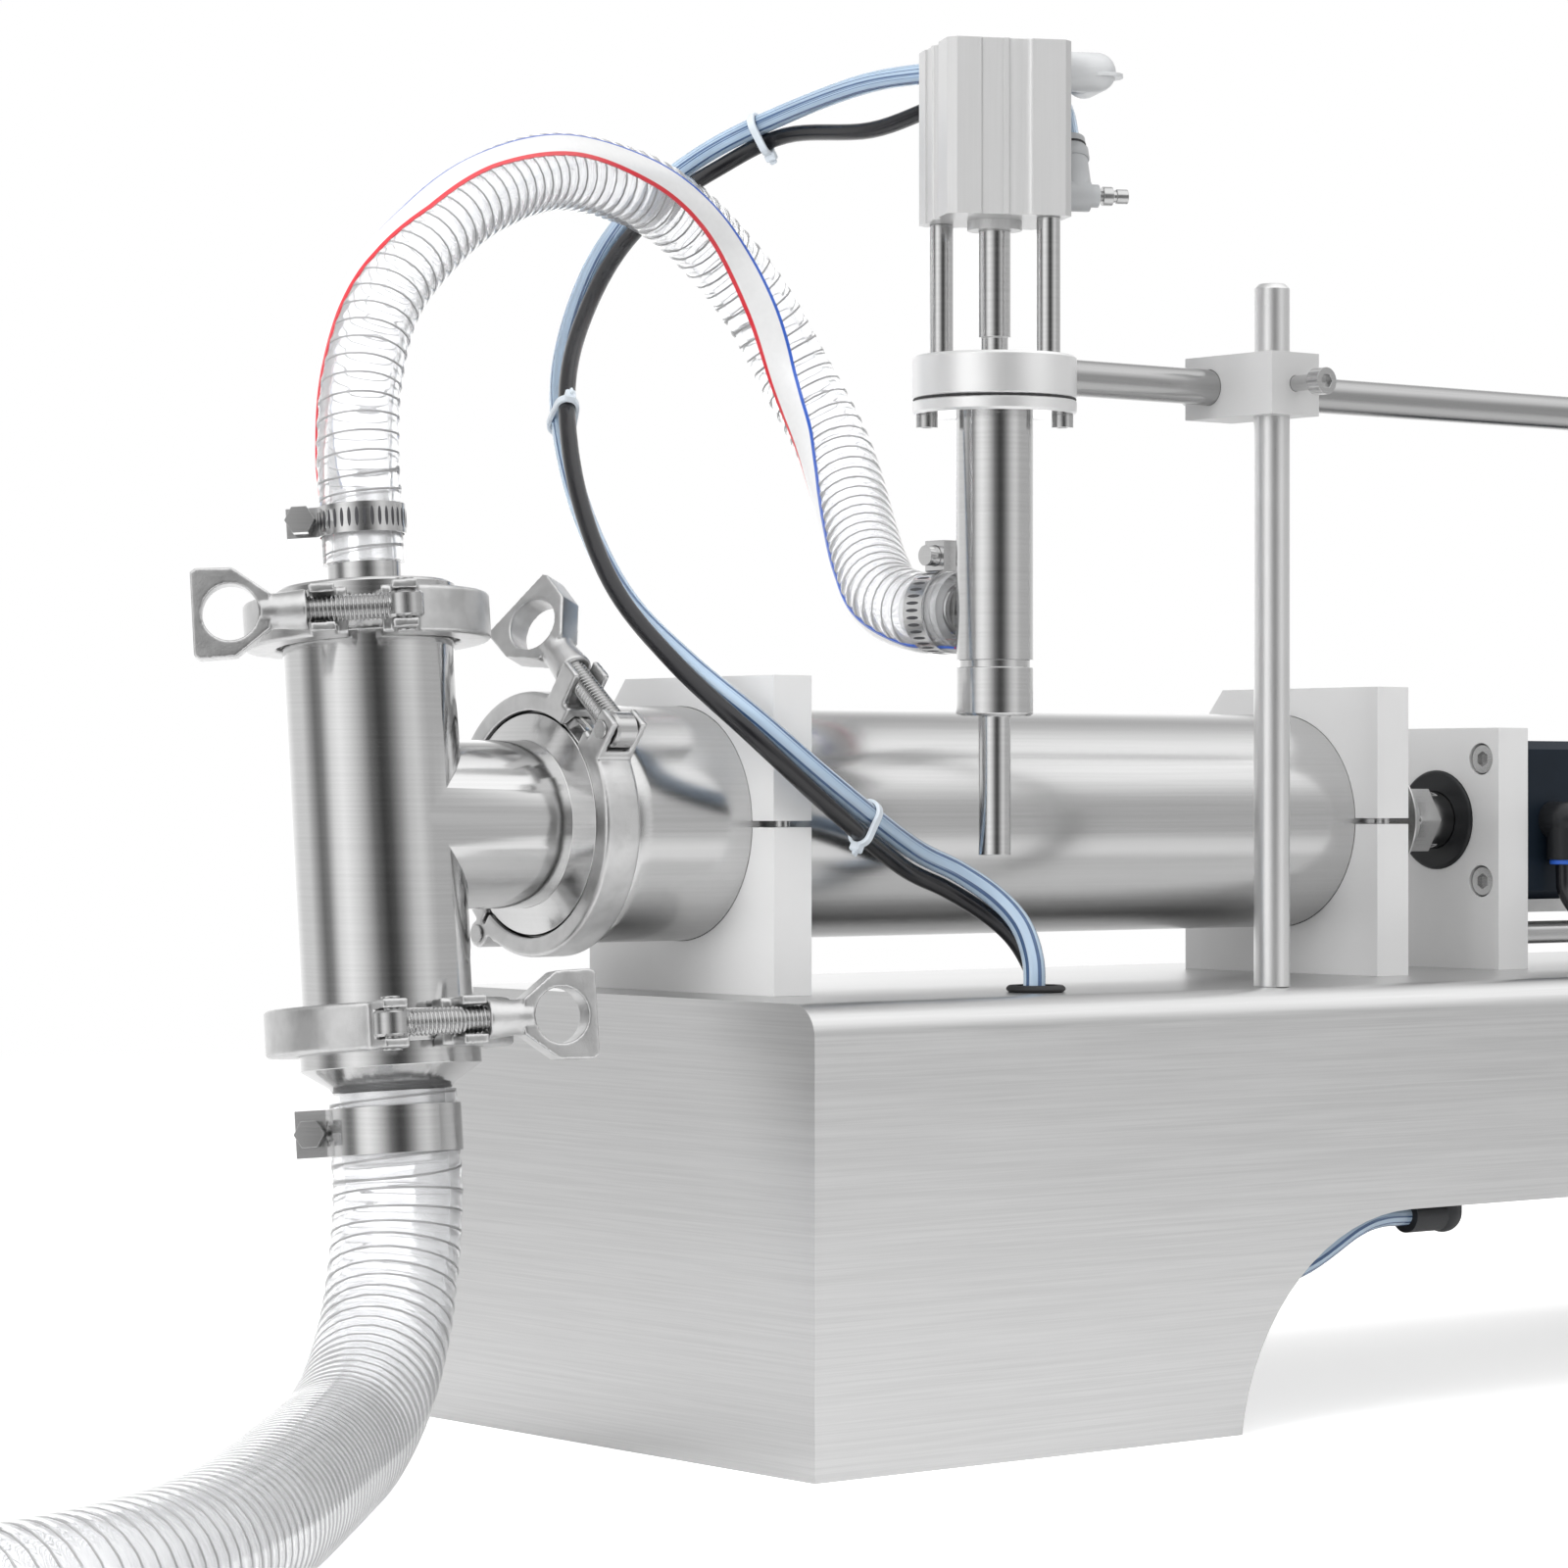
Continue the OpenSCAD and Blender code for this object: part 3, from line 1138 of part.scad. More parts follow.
// Nozzle: flange, body with its hose barb, and filling tip
module nozzle_flange() color("silver") difference() {
    on_nozzle(flange_z) bevelled(flange_r, flange_h);
    on_nozzle(flange_z - cut) cylinder(r = plunger_r + run, h = flange_h + 2 * cut);
    along_arm(arm_s0) cylinder(r = post_r + fit, h = flange_d);
    for (side = [0, 180]) on_nozzle(flange_z - cut) rotate([0, 0, flange_screw_turn + side])
        translate([flange_screw_at, 0, 0]) cylinder(r = m4_r + run, h = flange_screw_grip + 2 * cut);
}
module nozzle_body() color("silver") difference() {
    union() {
        on_nozzle(body_z) cylinder(r = nozzle_r, h = nozzle_len + plate_h);
        on_nozzle(flange_z - plate_h) bevelled(flange_r, plate_h);
        on_nozzle(barb_z) translate([0, nozzle_r - edge, 0]) rotate([-90, 0, 0])
            rotate_extrude() barb_outline(discharge_bore_r - loose, barb_len);
    }
    on_nozzle(body_z - cut) cylinder(r = nozzle_r - nozzle_wall, h = nozzle_len + plate_h + 2 * cut);
    on_nozzle(barb_z) rotate([-90, 0, 0]) cylinder(r = barb_bore_r, h = nozzle_r + barb_len + cut);
    for (side = [0, 180]) on_nozzle(flange_z - plate_h - cut) rotate([0, 0, flange_screw_turn + side])
        translate([flange_screw_at, 0, 0]) cylinder(r = m4_r + fit, h = plate_h + 2 * cut);
}
seat_top = collar_h - groove_h;
seat_bottom = seat_top - seat_cone_h;
module nozzle_tip() color("silver") on_nozzle(tip_z) rotate_extrude() polygon([
    [tip_r - tip_wall, -tip_len], [tip_r, -tip_len], [tip_r, 0], [nozzle_r - edge, 0],
    [nozzle_r, edge], [nozzle_r, collar_h], [nozzle_r - groove_depth, collar_h],
    [nozzle_r - groove_depth, collar_h + groove_h], [nozzle_r - nozzle_wall, collar_h + groove_h],
    [nozzle_r - nozzle_wall, seat_top], [tip_r - tip_wall, seat_bottom]]);

// Shut-off: the actuator lifts a rod whose seal closes the tip's conical seat
seal_z = tip_z + seat_bottom + fit;
seal_rise = (seal_r - seal_nose_r) * seat_cone_h / (nozzle_r - nozzle_wall - tip_r + tip_wall);
module plunger_seal() color("whitesmoke") on_nozzle(seal_z) rotate_extrude() polygon([[0, 0],
    [seal_nose_r, 0], [seal_r, seal_rise], [seal_r, seal_rise + seal_h], [0, seal_rise + seal_h]]);
module plunger_rod() color("silver") {
    stem_z = seal_z + seal_rise + seal_h;
    rod_z = flange_z - plunger_lift - 2 * edge;
    neck_z = flange_z + flange_h + edge;
    head_z = actuator_z + actuator_end + edge;
    on_nozzle(0) rotate_extrude() polygon([[0, stem_z], [plunger_stem_r, stem_z], [plunger_stem_r, rod_z],
        [plunger_r, rod_z], [plunger_r, neck_z], [plunger_neck_r, neck_z],
        [plunger_neck_r, neck_z + plunger_neck_h], [plunger_r, neck_z + plunger_neck_h],
        [plunger_r, head_z], [actuator_bore_r - loose, head_z],
        [actuator_bore_r - loose, head_z + actuator_piston_h], [0, head_z + actuator_piston_h]]);
}
module tie_rods() color("silver") {
    // Two rods, at opposite corners of the actuator
    for (side = [-1, 1]) on_head(flange_z + flange_h) translate([side * tie_at, -side * tie_at, 0])
        cylinder(r = tie_r, h = tie_len);
}
module actuator_body() color("gainsboro") on_head(actuator_z) difference() {
    union() {
        linear_extrude(actuator_h) difference() {
            square(actuator_w, center = true);
            for (a = [0 : 90 : 270]) rotate(a)
                translate([actuator_w / 2, actuator_w / 2]) circle(actuator_bevel, $fn = 4);
            // A flat recess and a round groove run up each side but the one with the ports
            for (a = [90 : 90 : 270]) rotate(a) {
                translate([actuator_w / 2, recess_at * actuator_w])
                    square([2 * recess_depth, recess_share * actuator_w], center = true);
                translate([actuator_w / 2, flute_at * actuator_w])
                    scale([flute_depth, flute_share * actuator_w / 2]) circle(1, $fn = flute_facets);
            }
        }
        translate([0, 0, -guide_h]) cylinder(r = guide_r, h = guide_h + edge);
    }
    translate([0, 0, -guide_h - cut]) cylinder(r = plunger_r + run, h = actuator_h / 2);
    translate([0, 0, actuator_end]) cylinder(r = actuator_bore_r, h = actuator_h - 2 * actuator_end);
}

// Fittings on the actuator's right side
module on_port(z, out) {
    on_head(z) translate([actuator_w / 2 + out, 0, 0]) children();
}
module actuator_elbow() color("gainsboro") {
    on_port(head_elbow_z, 0) rotate([0, 90, 0]) cylinder(r = head_stub_r, h = head_elbow_out);
    on_port(head_elbow_z, head_stub_len) rotate([0, 90, 0])
        cylinder(r = head_elbow_r, h = head_elbow_out - head_stub_len);
    on_port(head_elbow_z, head_elbow_out) {
        sphere(r = head_elbow_r);
        translate([head_rim_out, 0, -head_rim_drop]) cylinder(r = head_rim_r, h = head_rim_t);
        rotate([-90, 0, 0]) difference() {
            cylinder(r = head_elbow_r, h = head_collar_len);
            translate([0, 0, head_elbow_r]) cylinder(r = black_tube_d / 2 + fit, h = head_collar_len);
        }
    }
}
module flow_control() color("gainsboro") {
    on_port(flow_z, 0) rotate([0, 90, 0]) difference() {
        union() {
            cylinder(r = flow_r, h = flow_body_len);
            cylinder(r = flow_nut_r, h = flow_len);
            translate([0, 0, flow_out]) rotate([0, 0, -flow_lean]) rotate([0, -90, 0])
                cylinder(r = flow_r, h = flow_collar_h);
        }
        translate([0, 0, flow_len - needle_depth]) cylinder(r = needle_r + run, h = flow_len);
        translate([0, 0, flow_out]) rotate([0, 0, -flow_lean]) rotate([0, -90, 0]) translate([0, 0, flow_r])
            cylinder(r = blue_tube_d / 2 + fit, h = flow_collar_h);
    }
}
module needle_knob() color("gray") on_port(flow_z, flow_len) rotate([0, 90, 0]) {
    translate([0, 0, -needle_depth + edge]) cylinder(r = needle_r, h = needle_depth);
    ring_z = needle_neck_len;
    gap_z = ring_z + lock_ring_len;
    knob_z = gap_z + knob_gap_len;
    rotate_extrude() polygon([[0, fit], [needle_neck_r, fit], [needle_neck_r, ring_z],
        [lock_ring_r, ring_z], [lock_ring_r, gap_z], [knob_gap_r, gap_z], [knob_gap_r, knob_z],
        [knob_r, knob_z], [knob_r, knob_z + knob_len], [0, knob_z + knob_len]]);
}

// Hose clamps: a steel band, its housing and the worm screw
module hose_band(r, w) {
    out = r + band_t;
    screw_x = -out - worm_r;
    difference() {
        union() {
            translate([0, 0, -w / 2]) ring(out, r, w);
            translate([screw_x - worm_r - band_t, -worm_len / 4, -w / 2]) cube([out, worm_len / 2, w]);
        }
        translate([0, 0, -w]) cylinder(r = r, h = 2 * w);
        translate([screw_x, worm_len, 0]) rotate([90, 0, 0])
            cylinder(r = worm_r - band_t + fit, h = 2 * worm_len);
    }
    translate([screw_x, worm_len / 2, 0]) rotate([90, 0, 0]) {
        cylinder(r = worm_r - band_t, h = worm_len);
        translate([0, 0, worm_len]) cylinder(r = worm_head_r, h = worm_head_h, $fn = hex_fn);
    }
}
module hose_clamps() color("silver") {
    on_tee(outlet_band_at) rotate([0, 0, band_turn]) hose_band(discharge_r + loose, outlet_band_w);
    on_tee(-inlet_band_at) rotate([0, 0, band_turn]) hose_band(suction_r + loose, inlet_band_w);
}
module nozzle_hose_clamp() color("silver") on_nozzle(barb_z)
    translate([0, nozzle_r + barb_len / 2, 0]) rotate([-90, 0, 0]) rotate([0, 0, 90])
        hose_band(discharge_r + loose, outlet_band_w);

// Hoses and air tubes
module discharge_hose() color("lightcyan")
    ribbed_hose(from_left(discharge_route), discharge_od, discharge_wall, hose_ribs);
module suction_hose() color("lightcyan")
    ribbed_hose(from_bench(suction_route), suction_od, suction_wall, hose_ribs);
function to_wall(q) = (usual_width - base_width) / 2
    * max(0, min(1, (-q[1] - middle_line) / (wall_line - middle_line)))
    * max(0, min(1, (-q[2] - wall_depth) / wall_depth));
function from_left(p) = [for (q = p) q + [base_left, to_wall(q), base_height]];
function from_bench(p) = [for (q = p) q + [base_left, 0,
    (base_height - usual_height) * max(0, min(1, (q[2] - bench_line) / (hang_line - bench_line)))]];
function beside(p, out) = let (t = tangents(p), s = sides_of(t, [1, 0, 0]))
    [for (i = [0 : len(p) - 1]) let (a = bundle_turn + bundle_twist * i / (len(p) - 1))
        p[i] + out * (cos(a) * s[i] + sin(a) * cross(t[i], s[i]))];
module air_tube(route, d, steps) {
    solid_tube(smooth(from_left(route), steps), d / 2, tube_sides, [0, 1, 0]);
}
module blue_air_tube() color("skyblue") air_tube(concat(blue_start_route,
    beside(bundle_route, blue_spread), blue_end_route), blue_tube_d, tube_steps);
module black_air_tube() color("#161616") air_tube(concat(black_start_route,
    beside(bundle_route, black_spread), black_end_route), black_tube_d, tube_steps);
module base_air_tubes() color("#161616") {
    for (route = [front_tube_route, rear_tube_route, supply_tube_route])
        air_tube(route, black_tube_d, base_tube_steps);
}

// Control valve inside the base, with the fitting of the blue tube, and the air inlet
module control_valve() color("#202020") {
    at_s(valve_s) translate([0, base_sheet - base_width / 2, valve_z]) cube([valve_len, valve_w, valve_h]);
    translate(from_left([blue_start_route[0]])[0]) {
        translate([valve_s - blue_start_route[0][0] + elbow_r, 0, 0])
            cylinder(r = elbow_r, h = -valve_drop - blue_start_route[0][2]);
        rotate([0, 90, 0]) cylinder(r = elbow_collar_r, h = valve_s - blue_start_route[0][0] + elbow_r);
        translate([valve_s - blue_start_route[0][0] + elbow_r, 0, 0]) sphere(r = elbow_r);
    }
}
module air_inlet() color("silver") at_s(base_len) translate([0, inlet_y, inlet_z]) rotate([0, 90, 0])
    difference() {
        union() {
            translate([0, 0, -base_sheet - inlet_nut_h])
                cylinder(r = inlet_hole_r - fit, h = inlet_nut_h + inlet_out);
            cylinder(r = inlet_hex_r, h = inlet_hex_h, $fn = hex_fn);
            translate([0, 0, -base_sheet - inlet_nut_h])
                cylinder(r = inlet_hex_r, h = inlet_nut_h, $fn = hex_fn);
        }
        translate([0, 0, -inlet_tube_in]) cylinder(r = inlet_bore, h = base_height);
        translate([0, 0, -base_height]) cylinder(r = black_tube_d / 2 + fit, h = base_height);
    }

base_frame();
saddles();
saddle_caps();
block_screws();
product_cylinder();
tee_body();
ferrule_gaskets();
outlet_adapter();
inlet_adapter();
valve_cages();
outlet_poppet();
outlet_spring();
inlet_poppet();
inlet_spring();
top_clamp_halves();
side_clamp_halves();
bottom_clamp_halves();
clamp_pins();
top_eye_bolt();
side_eye_bolt();
bottom_eye_bolt();
top_wing_nut();
side_wing_nut();
bottom_wing_nut();
product_piston();
piston_seals();
rod_coupling();
air_piston_rod();
air_mounts();
rod_gland();
air_barrel();
air_cylinder_caps();
sensor_rail();
sensor_carriage();
handwheel();
cylinder_elbows();
grommets();
post();
arm_rod();
cross_clamp();
arm_screws();
nozzle_flange();
nozzle_body();
nozzle_tip();
tie_rods();
actuator_body();
plunger_rod();
plunger_seal();
actuator_elbow();
flow_control();
needle_knob();
hose_clamps();
nozzle_hose_clamp();
discharge_hose();
suction_hose();
blue_air_tube();
black_air_tube();
base_air_tubes();
control_valve();
air_inlet();
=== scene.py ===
import json
import math

import bmesh
import bpy
from mathutils import Matrix, Vector


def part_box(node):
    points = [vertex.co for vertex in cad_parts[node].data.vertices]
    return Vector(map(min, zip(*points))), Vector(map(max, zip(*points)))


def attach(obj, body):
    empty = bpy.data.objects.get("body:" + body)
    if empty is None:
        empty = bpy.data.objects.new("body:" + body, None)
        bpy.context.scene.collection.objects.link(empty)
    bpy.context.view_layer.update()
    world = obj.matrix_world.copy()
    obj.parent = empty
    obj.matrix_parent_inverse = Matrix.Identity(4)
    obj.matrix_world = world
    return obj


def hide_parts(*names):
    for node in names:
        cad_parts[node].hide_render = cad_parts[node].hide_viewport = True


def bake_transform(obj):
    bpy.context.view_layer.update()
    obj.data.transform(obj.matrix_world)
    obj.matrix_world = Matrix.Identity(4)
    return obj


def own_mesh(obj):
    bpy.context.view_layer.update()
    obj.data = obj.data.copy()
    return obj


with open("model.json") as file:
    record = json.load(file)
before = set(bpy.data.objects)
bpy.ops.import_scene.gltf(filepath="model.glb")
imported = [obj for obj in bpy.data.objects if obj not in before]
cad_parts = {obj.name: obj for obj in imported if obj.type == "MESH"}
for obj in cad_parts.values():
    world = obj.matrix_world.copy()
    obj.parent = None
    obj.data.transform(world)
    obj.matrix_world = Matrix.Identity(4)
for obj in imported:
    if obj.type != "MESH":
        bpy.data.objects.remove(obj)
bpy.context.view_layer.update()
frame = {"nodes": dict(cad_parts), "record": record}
mm = 0.001

# Where the machine's parts stand, in mm and degrees: base, cylinders' axis, tee and nozzle
place = {"baseLeft": -377.5, "baseTop": 140.0, "axisHeight": 192.5, "teeReach": 86.0, "teeTurn": 5.5,
         "nozzleAlong": 98.0, "nozzleAcross": -68.0, "headTurn": -26.0}

# Camera
cameraView = {"place": (-1.2750, -1.20155, 0.20177), "tilt": 90.115, "turn": -38.809, "lens": 111.6}
cameraData = bpy.data.cameras.new("photoCamera")
cameraData.lens = cameraView["lens"]
cameraData.sensor_width = 36.0
cameraData.clip_end = 200.0
camera = bpy.data.objects.new("photoCamera", cameraData)
camera.location = cameraView["place"]
camera.rotation_euler = (math.radians(cameraView["tilt"]), 0.0, math.radians(cameraView["turn"]))
bpy.context.scene.collection.objects.link(camera)
bpy.context.scene.camera = camera
bpy.context.scene.view_settings.view_transform = "Standard"
print("camera set")


# Curves: a smooth line through route points, equal steps along it, and a steady side direction
def curvePoint(a, b, c, d, t):
    return 0.5 * ((2 * b) + (c - a) * t + (2 * a - 5 * b + 4 * c - d) * t ** 2
                  + (3 * b - a - 3 * c + d) * t ** 3)


def smoothLine(points, steps):
    last = len(points) - 1
    line = []
    for i in range(last):
        a, b, c, d = points[max(0, i - 1)], points[i], points[i + 1], points[min(last, i + 2)]
        line += [curvePoint(a, b, c, d, k / steps) for k in range(steps)]
    return line + [points[last]]


def lineLength(line):
    return sum((b - a).length for a, b in zip(line, line[1:]))


def evenLine(line, count):
    runs = [0.0]
    for a, b in zip(line, line[1:]):
        runs.append(runs[-1] + (b - a).length)
    result, i = [], 0
    for k in range(count + 1):
        want = runs[-1] * k / count
        while i < len(line) - 2 and runs[i + 1] < want:
            i += 1
        result.append(line[i].lerp(line[i + 1], (want - runs[i]) / max(runs[i + 1] - runs[i], 1e-9)))
    return result


def lineFrames(line, first):
    last = len(line) - 1
    tangents = [(line[min(last, i + 1)] - line[max(0, i - 1)]).normalized() for i in range(last + 1)]
    side, sides = first, []
    for tangent in tangents:
        side = (side - side.dot(tangent) * tangent).normalized()
        sides.append(side)
    return tangents, sides


def roundAngles(count):
    return [2 * math.pi * k / count for k in range(count)]


alongX, alongY = Vector((1, 0, 0)), Vector((0, 1, 0))


def fromLeft(route):
    return [Vector((place["baseLeft"] + s, y, place["baseTop"] + z)) * mm for s, y, z in route]


def fromBench(route):
    return [Vector((place["baseLeft"] + s, y, z)) * mm for s, y, z in route]


# Meshes and pieces
def paint(mesh, finish):
    mesh.materials.clear()
    mesh.materials.append(finishes[finish])


def newPiece(name, mesh, finish=None):
    piece = bpy.data.objects.new(name, mesh)
    bpy.context.scene.collection.objects.link(piece)
    if finish:
        paint(mesh, finish)
    return piece


def smoothFaces(mesh, sharpAngle=None):
    for face in mesh.polygons:
        face.use_smooth = True
    if sharpAngle is not None:
        mesh.set_sharp_from_angle(angle=math.radians(sharpAngle))


def settle(work, mesh):
    work.to_mesh(mesh)
    work.free()


def evaluatedMesh(piece):
    depsgraph = bpy.context.evaluated_depsgraph_get()
    return bpy.data.meshes.new_from_object(piece.evaluated_get(depsgraph), depsgraph=depsgraph)


def skinMesh(name, rings, closedAlong=False, caps=False, stretch=None, roundShares=None):
    # A skin over rings of points; u runs round each ring and v along the rings
    mesh = bpy.data.meshes.new(name)
    work = bmesh.new()
    uvLayer = work.loops.layers.uv.new("along")
    verts = [[work.verts.new(p) for p in ring] for ring in rings]
    count, sides = len(rings), len(rings[0])
    stretch = (stretch or [i / (count - 1) for i in range(count)]) + [1.0]
    roundShares = roundShares or [k / sides for k in range(sides + 1)]
    for i in range(count if closedAlong else count - 1):
        j = (i + 1) % count
        for k in range(sides):
            m = (k + 1) % sides
            face = work.faces.new((verts[i][k], verts[i][m], verts[j][m], verts[j][k]))
            for loop, (u, v) in zip(face.loops, ((k, i), (k + 1, i), (k + 1, i + 1), (k, i + 1))):
                loop[uvLayer].uv = (roundShares[u], stretch[v])
    if caps:
        work.faces.new(list(reversed(verts[0])))
        work.faces.new(verts[-1])
    bmesh.ops.recalc_face_normals(work, faces=work.faces)
    settle(work, mesh)
    return mesh


def roundRings(line, first, sides, radiusAt):
    rings = []
    for i, (point, tangent, side) in enumerate(zip(line, *lineFrames(line, first))):
        other = tangent.cross(side)
        rings.append([point + radiusAt(i, angle) * (math.cos(angle) * side + math.sin(angle) * other)
                      for angle in roundAngles(sides)])
    return rings


def turnedRings(profile, sides=48):
    # Rings of a turned shape; its profile is a list of radius and height
    return [[Vector((math.cos(angle) * r, math.sin(angle) * r, z)) for r, z in profile]
            for angle in roundAngles(sides)]


# Routes, from the part's source
dischargeRoute = [(-86, 7.5, 130.5), (-86, 9.6, 152), (-86, 10.7, 164), (-82, 15, 186), (-70, 22, 211),
    (-48, 31, 231), (-20, 42, 248), (20, 59, 261), (59, 71, 261), (85, 77, 254), (105, 80, 242),
    (119, 77, 226), (130, 71, 204), (134, 57, 181), (130, 43.5, 165.5), (121.1, 26.3, 149),
    (110.5, 6.8, 134.1), (102.4, -11.6, 124), (98, -33.5, 119), (98, -44, 119), (98, -54, 119)]
suctionRoute = [(-86, -7.6, 113.5), (-86, -9.4, 95), (-86, -10.5, 84), (-90, -14.5, 65), (-100, -24, 45),
    (-117, -40, 29.5), (-141, -64, 21), (-167, -92, 19.6), (-194, -122, 19.6), (-224, -155, 19.6),
    (-256, -188, 19.6), (-292, -218, 19.6), (-336, -241, 19.6), (-388, -249, 19.6),
    (-438, -236, 19.6), (-474, -203, 19.6), (-490, -160, 19.6), (-484, -112, 19.6),
    (-462, -70, 19.6), (-430, -36, 19.6), (-398, -12, 19.6)]
bundleRoute = [(112.65, -70.65, -12), (112.65, -70.65, 1), (112.9, -68.1, 10.2), (111.9, -62.5, 19.4),
    (107.5, -55.1, 27.5), (97.8, -48.2, 35.2), (80.7, -45.7, 42.9), (42.3, -56.9, 61.1),
    (14.2, -54.5, 81.8), (1.7, -34.3, 101.4), (-3.8, -11.4, 122.1), (-1.8, 10.6, 147.4),
    (7.5, 32.9, 173.2), (22.6, 54.6, 196.4), (44.4, 75, 220.1), (67.1, 89.7, 241.8),
    (91.3, 98.8, 260.3), (112.9, 95.3, 275.8), (126, 73.4, 286.6)]
blueStart = [(257, -90, -76), (245, -90, -76), (233, -90, -79), (208, -90, -90), (176, -89, -95),
    (147, -85, -84), (124, -78, -60), (111.5, -72, -32)]
blueEnd = [(123.2, 25.6, 294.8), (121.4, -15, 294), (123.4, -38.8, 293), (127.4, -51.8, 288.5),
    (129.1, -60.3, 282.5), (128.2, -66.4, 275.5), (125.6, -71.6, 267), (124.2, -74.7, 259.8)]
blackStart = [(268, -84, -48), (255, -84, -48), (240, -79, -49), (215, -70, -50), (172, -63, -49),
    (138, -64, -43), (119, -68.5, -27)]
blackEnd = [(126.8, 26, 280.1), (129.9, -8.2, 285.4), (136, -30.5, 286.6), (140.7, -46, 287),
    (138.9, -58, 286.7), (134.9, -67.1, 286.5), (130.9, -75.1, 286.5)]
frontTube = [(395.5, -34, 42), (395.5, -34, 34), (395.5, -35.5, 26), (398, -44, 16), (404, -59, 7),
    (405, -62, -4), (404, -66, -20), (388, -75, -34), (360, -82, -42), (346, -84, -43),
    (338, -84, -43), (330, -84, -43)]
rearTube = [(717.5, -34, 42), (717.5, -34, 34), (717.5, -35.5, 26), (717.5, -45, 16),
    (717.5, -59, 7), (717.5, -62, -4), (714, -64, -20), (696, -70, -32), (640, -74, -40),
    (520, -76, -46), (420, -80, -52), (360, -84, -54), (345, -84, -54), (330, -84, -54)]
supplyTube = [(752, 40, -80), (742, 40, -80), (732, 39, -80), (720, 27, -78), (708, -10, -72),
    (696, -50, -66), (668, -76, -62), (600, -84, -62), (480, -84, -62), (400, -84, -62),
    (360, -84, -62), (330, -84, -62)]
bundle = {"turn": 200.0, "twist": 360.0, "blueOut": 2.9, "blackOut": -3.9}


def besideBundle(out):
    line = fromLeft(bundleRoute)
    result = []
    for i, (point, tangent, side) in enumerate(zip(line, *lineFrames(line, alongX))):
        angle = math.radians(bundle["turn"] + bundle["twist"] * i / (len(line) - 1))
        result.append(point + out * mm * (math.cos(angle) * side + math.sin(angle) * tangent.cross(side)))
    return result


# Materials
class Wire:
    # An output of a node tree; sums and products of wires add their Math nodes
    def __init__(self, bench, socket):
        self.bench = bench
        self.socket = socket

    def maths(self, operation, *others):
        return self.bench.maths(operation, self, *others)

    def __add__(self, other):
        return self.maths("ADD", other)

    def __mul__(self, other):
        return self.maths("MULTIPLY", other)

    def __sub__(self, other):
        return self.maths("SUBTRACT", other)

    def __rsub__(self, other):
        return self.bench.maths("SUBTRACT", other, self)

    def __truediv__(self, other):
        return self.maths("DIVIDE", other)

    __radd__ = __add__
    __rmul__ = __mul__

    def step(self, low, high):
        # 0 below low, 1 above high, and a soft rise between
        settings = {"interpolation_type": "SMOOTHSTEP", "clamp": True}
        return self.bench.add("ShaderNodeMapRange", settings, {0: self, 1: low, 2: high})


def shade(value, share=1.0):
    parts = value if isinstance(value, tuple) else (value,) * 3
    return (*(part * share for part in parts), 1.0)


class Bench:
    # A node tree with one method that adds any node
    def __init__(self, tree):
        self.tree = tree

    def add(self, kind, settings=None, values=None, out=0):
        node = self.tree.nodes.new(kind)
        for key, value in (settings or {}).items():
            if key == "stops":
                ramp = node.color_ramp
                while len(ramp.elements) < len(value):
                    ramp.elements.new(0.5)
                for element, (position, level) in zip(ramp.elements, value):
                    element.position = position
                    element.color = shade(level)
            else:
                setattr(node, key, value)
        for key, value in (values or {}).items():
            if isinstance(value, Wire):
                self.tree.links.new(value.socket, node.inputs[key])
            else:
                node.inputs[key].default_value = value
        return Wire(self, node.outputs[out]) if len(node.outputs) else None

    def maths(self, operation, *values):
        return self.add("ShaderNodeMath", {"operation": operation}, dict(enumerate(values)))

    def spot(self, output="Object"):
        return self.add("ShaderNodeTexCoord", out=output)

    def split(self, vector):
        node = self.add("ShaderNodeSeparateXYZ", values={0: vector}).socket.node
        return [Wire(self, socket) for socket in node.outputs]

    def join(self, x, y, z):
        return self.add("ShaderNodeCombineXYZ", values={0: x, 1: y, 2: z})

    def noise(self, vector, scale, detail=2.0, roughness=0.5):
        return self.add("ShaderNodeTexNoise", {}, {"Vector": vector, "Scale": scale,
                        "Detail": detail, "Roughness": roughness})

    def grain(self, scale, detail=2.0, roughness=0.5):
        return self.noise(self.spot(), scale, detail, roughness)

    def blendShades(self, share, first, second):
        return self.add("ShaderNodeMix", {"data_type": "RGBA"}, {0: share, 6: first, 7: second}, out=2)

    def bump(self, height, distance):
        return self.add("ShaderNodeBump", {}, {"Height": height, "Distance": distance, "Strength": 1.0})

    def rays(self):
        # Which ray looks: the camera's own, one off a glossy surface, one through clear plastic
        node = self.add("ShaderNodeLightPath").socket.node
        return [Wire(self, node.outputs[label])
                for label in ("Is Camera Ray", "Is Glossy Ray", "Is Transmission Ray")]


def surface(name, **sockets):
    material = bpy.data.materials.new(name)
    material.use_nodes = True
    bench = Bench(material.node_tree)
    bench.material = material
    bench.shader = material.node_tree.nodes["Principled BSDF"]
    for key, value in sockets.items():
        bench.shader.inputs[key.replace("_", " ")].default_value = value
    return bench


def toned(bench, pattern, tone, darker, lighter):
    # A pattern between a darker and a lighter shade of one tone
    return bench.blendShades(pattern.step(0.3, 0.7), shade(tone, darker), shade(tone, lighter))


def wireUp(bench, colour, rough, height, depth):
    wired = {"Base Color": colour, "Roughness": rough, "Normal": bench.bump(height, depth)}
    for key, value in wired.items():
        bench.tree.links.new(value.socket, bench.shader.inputs[key])
    return bench.material


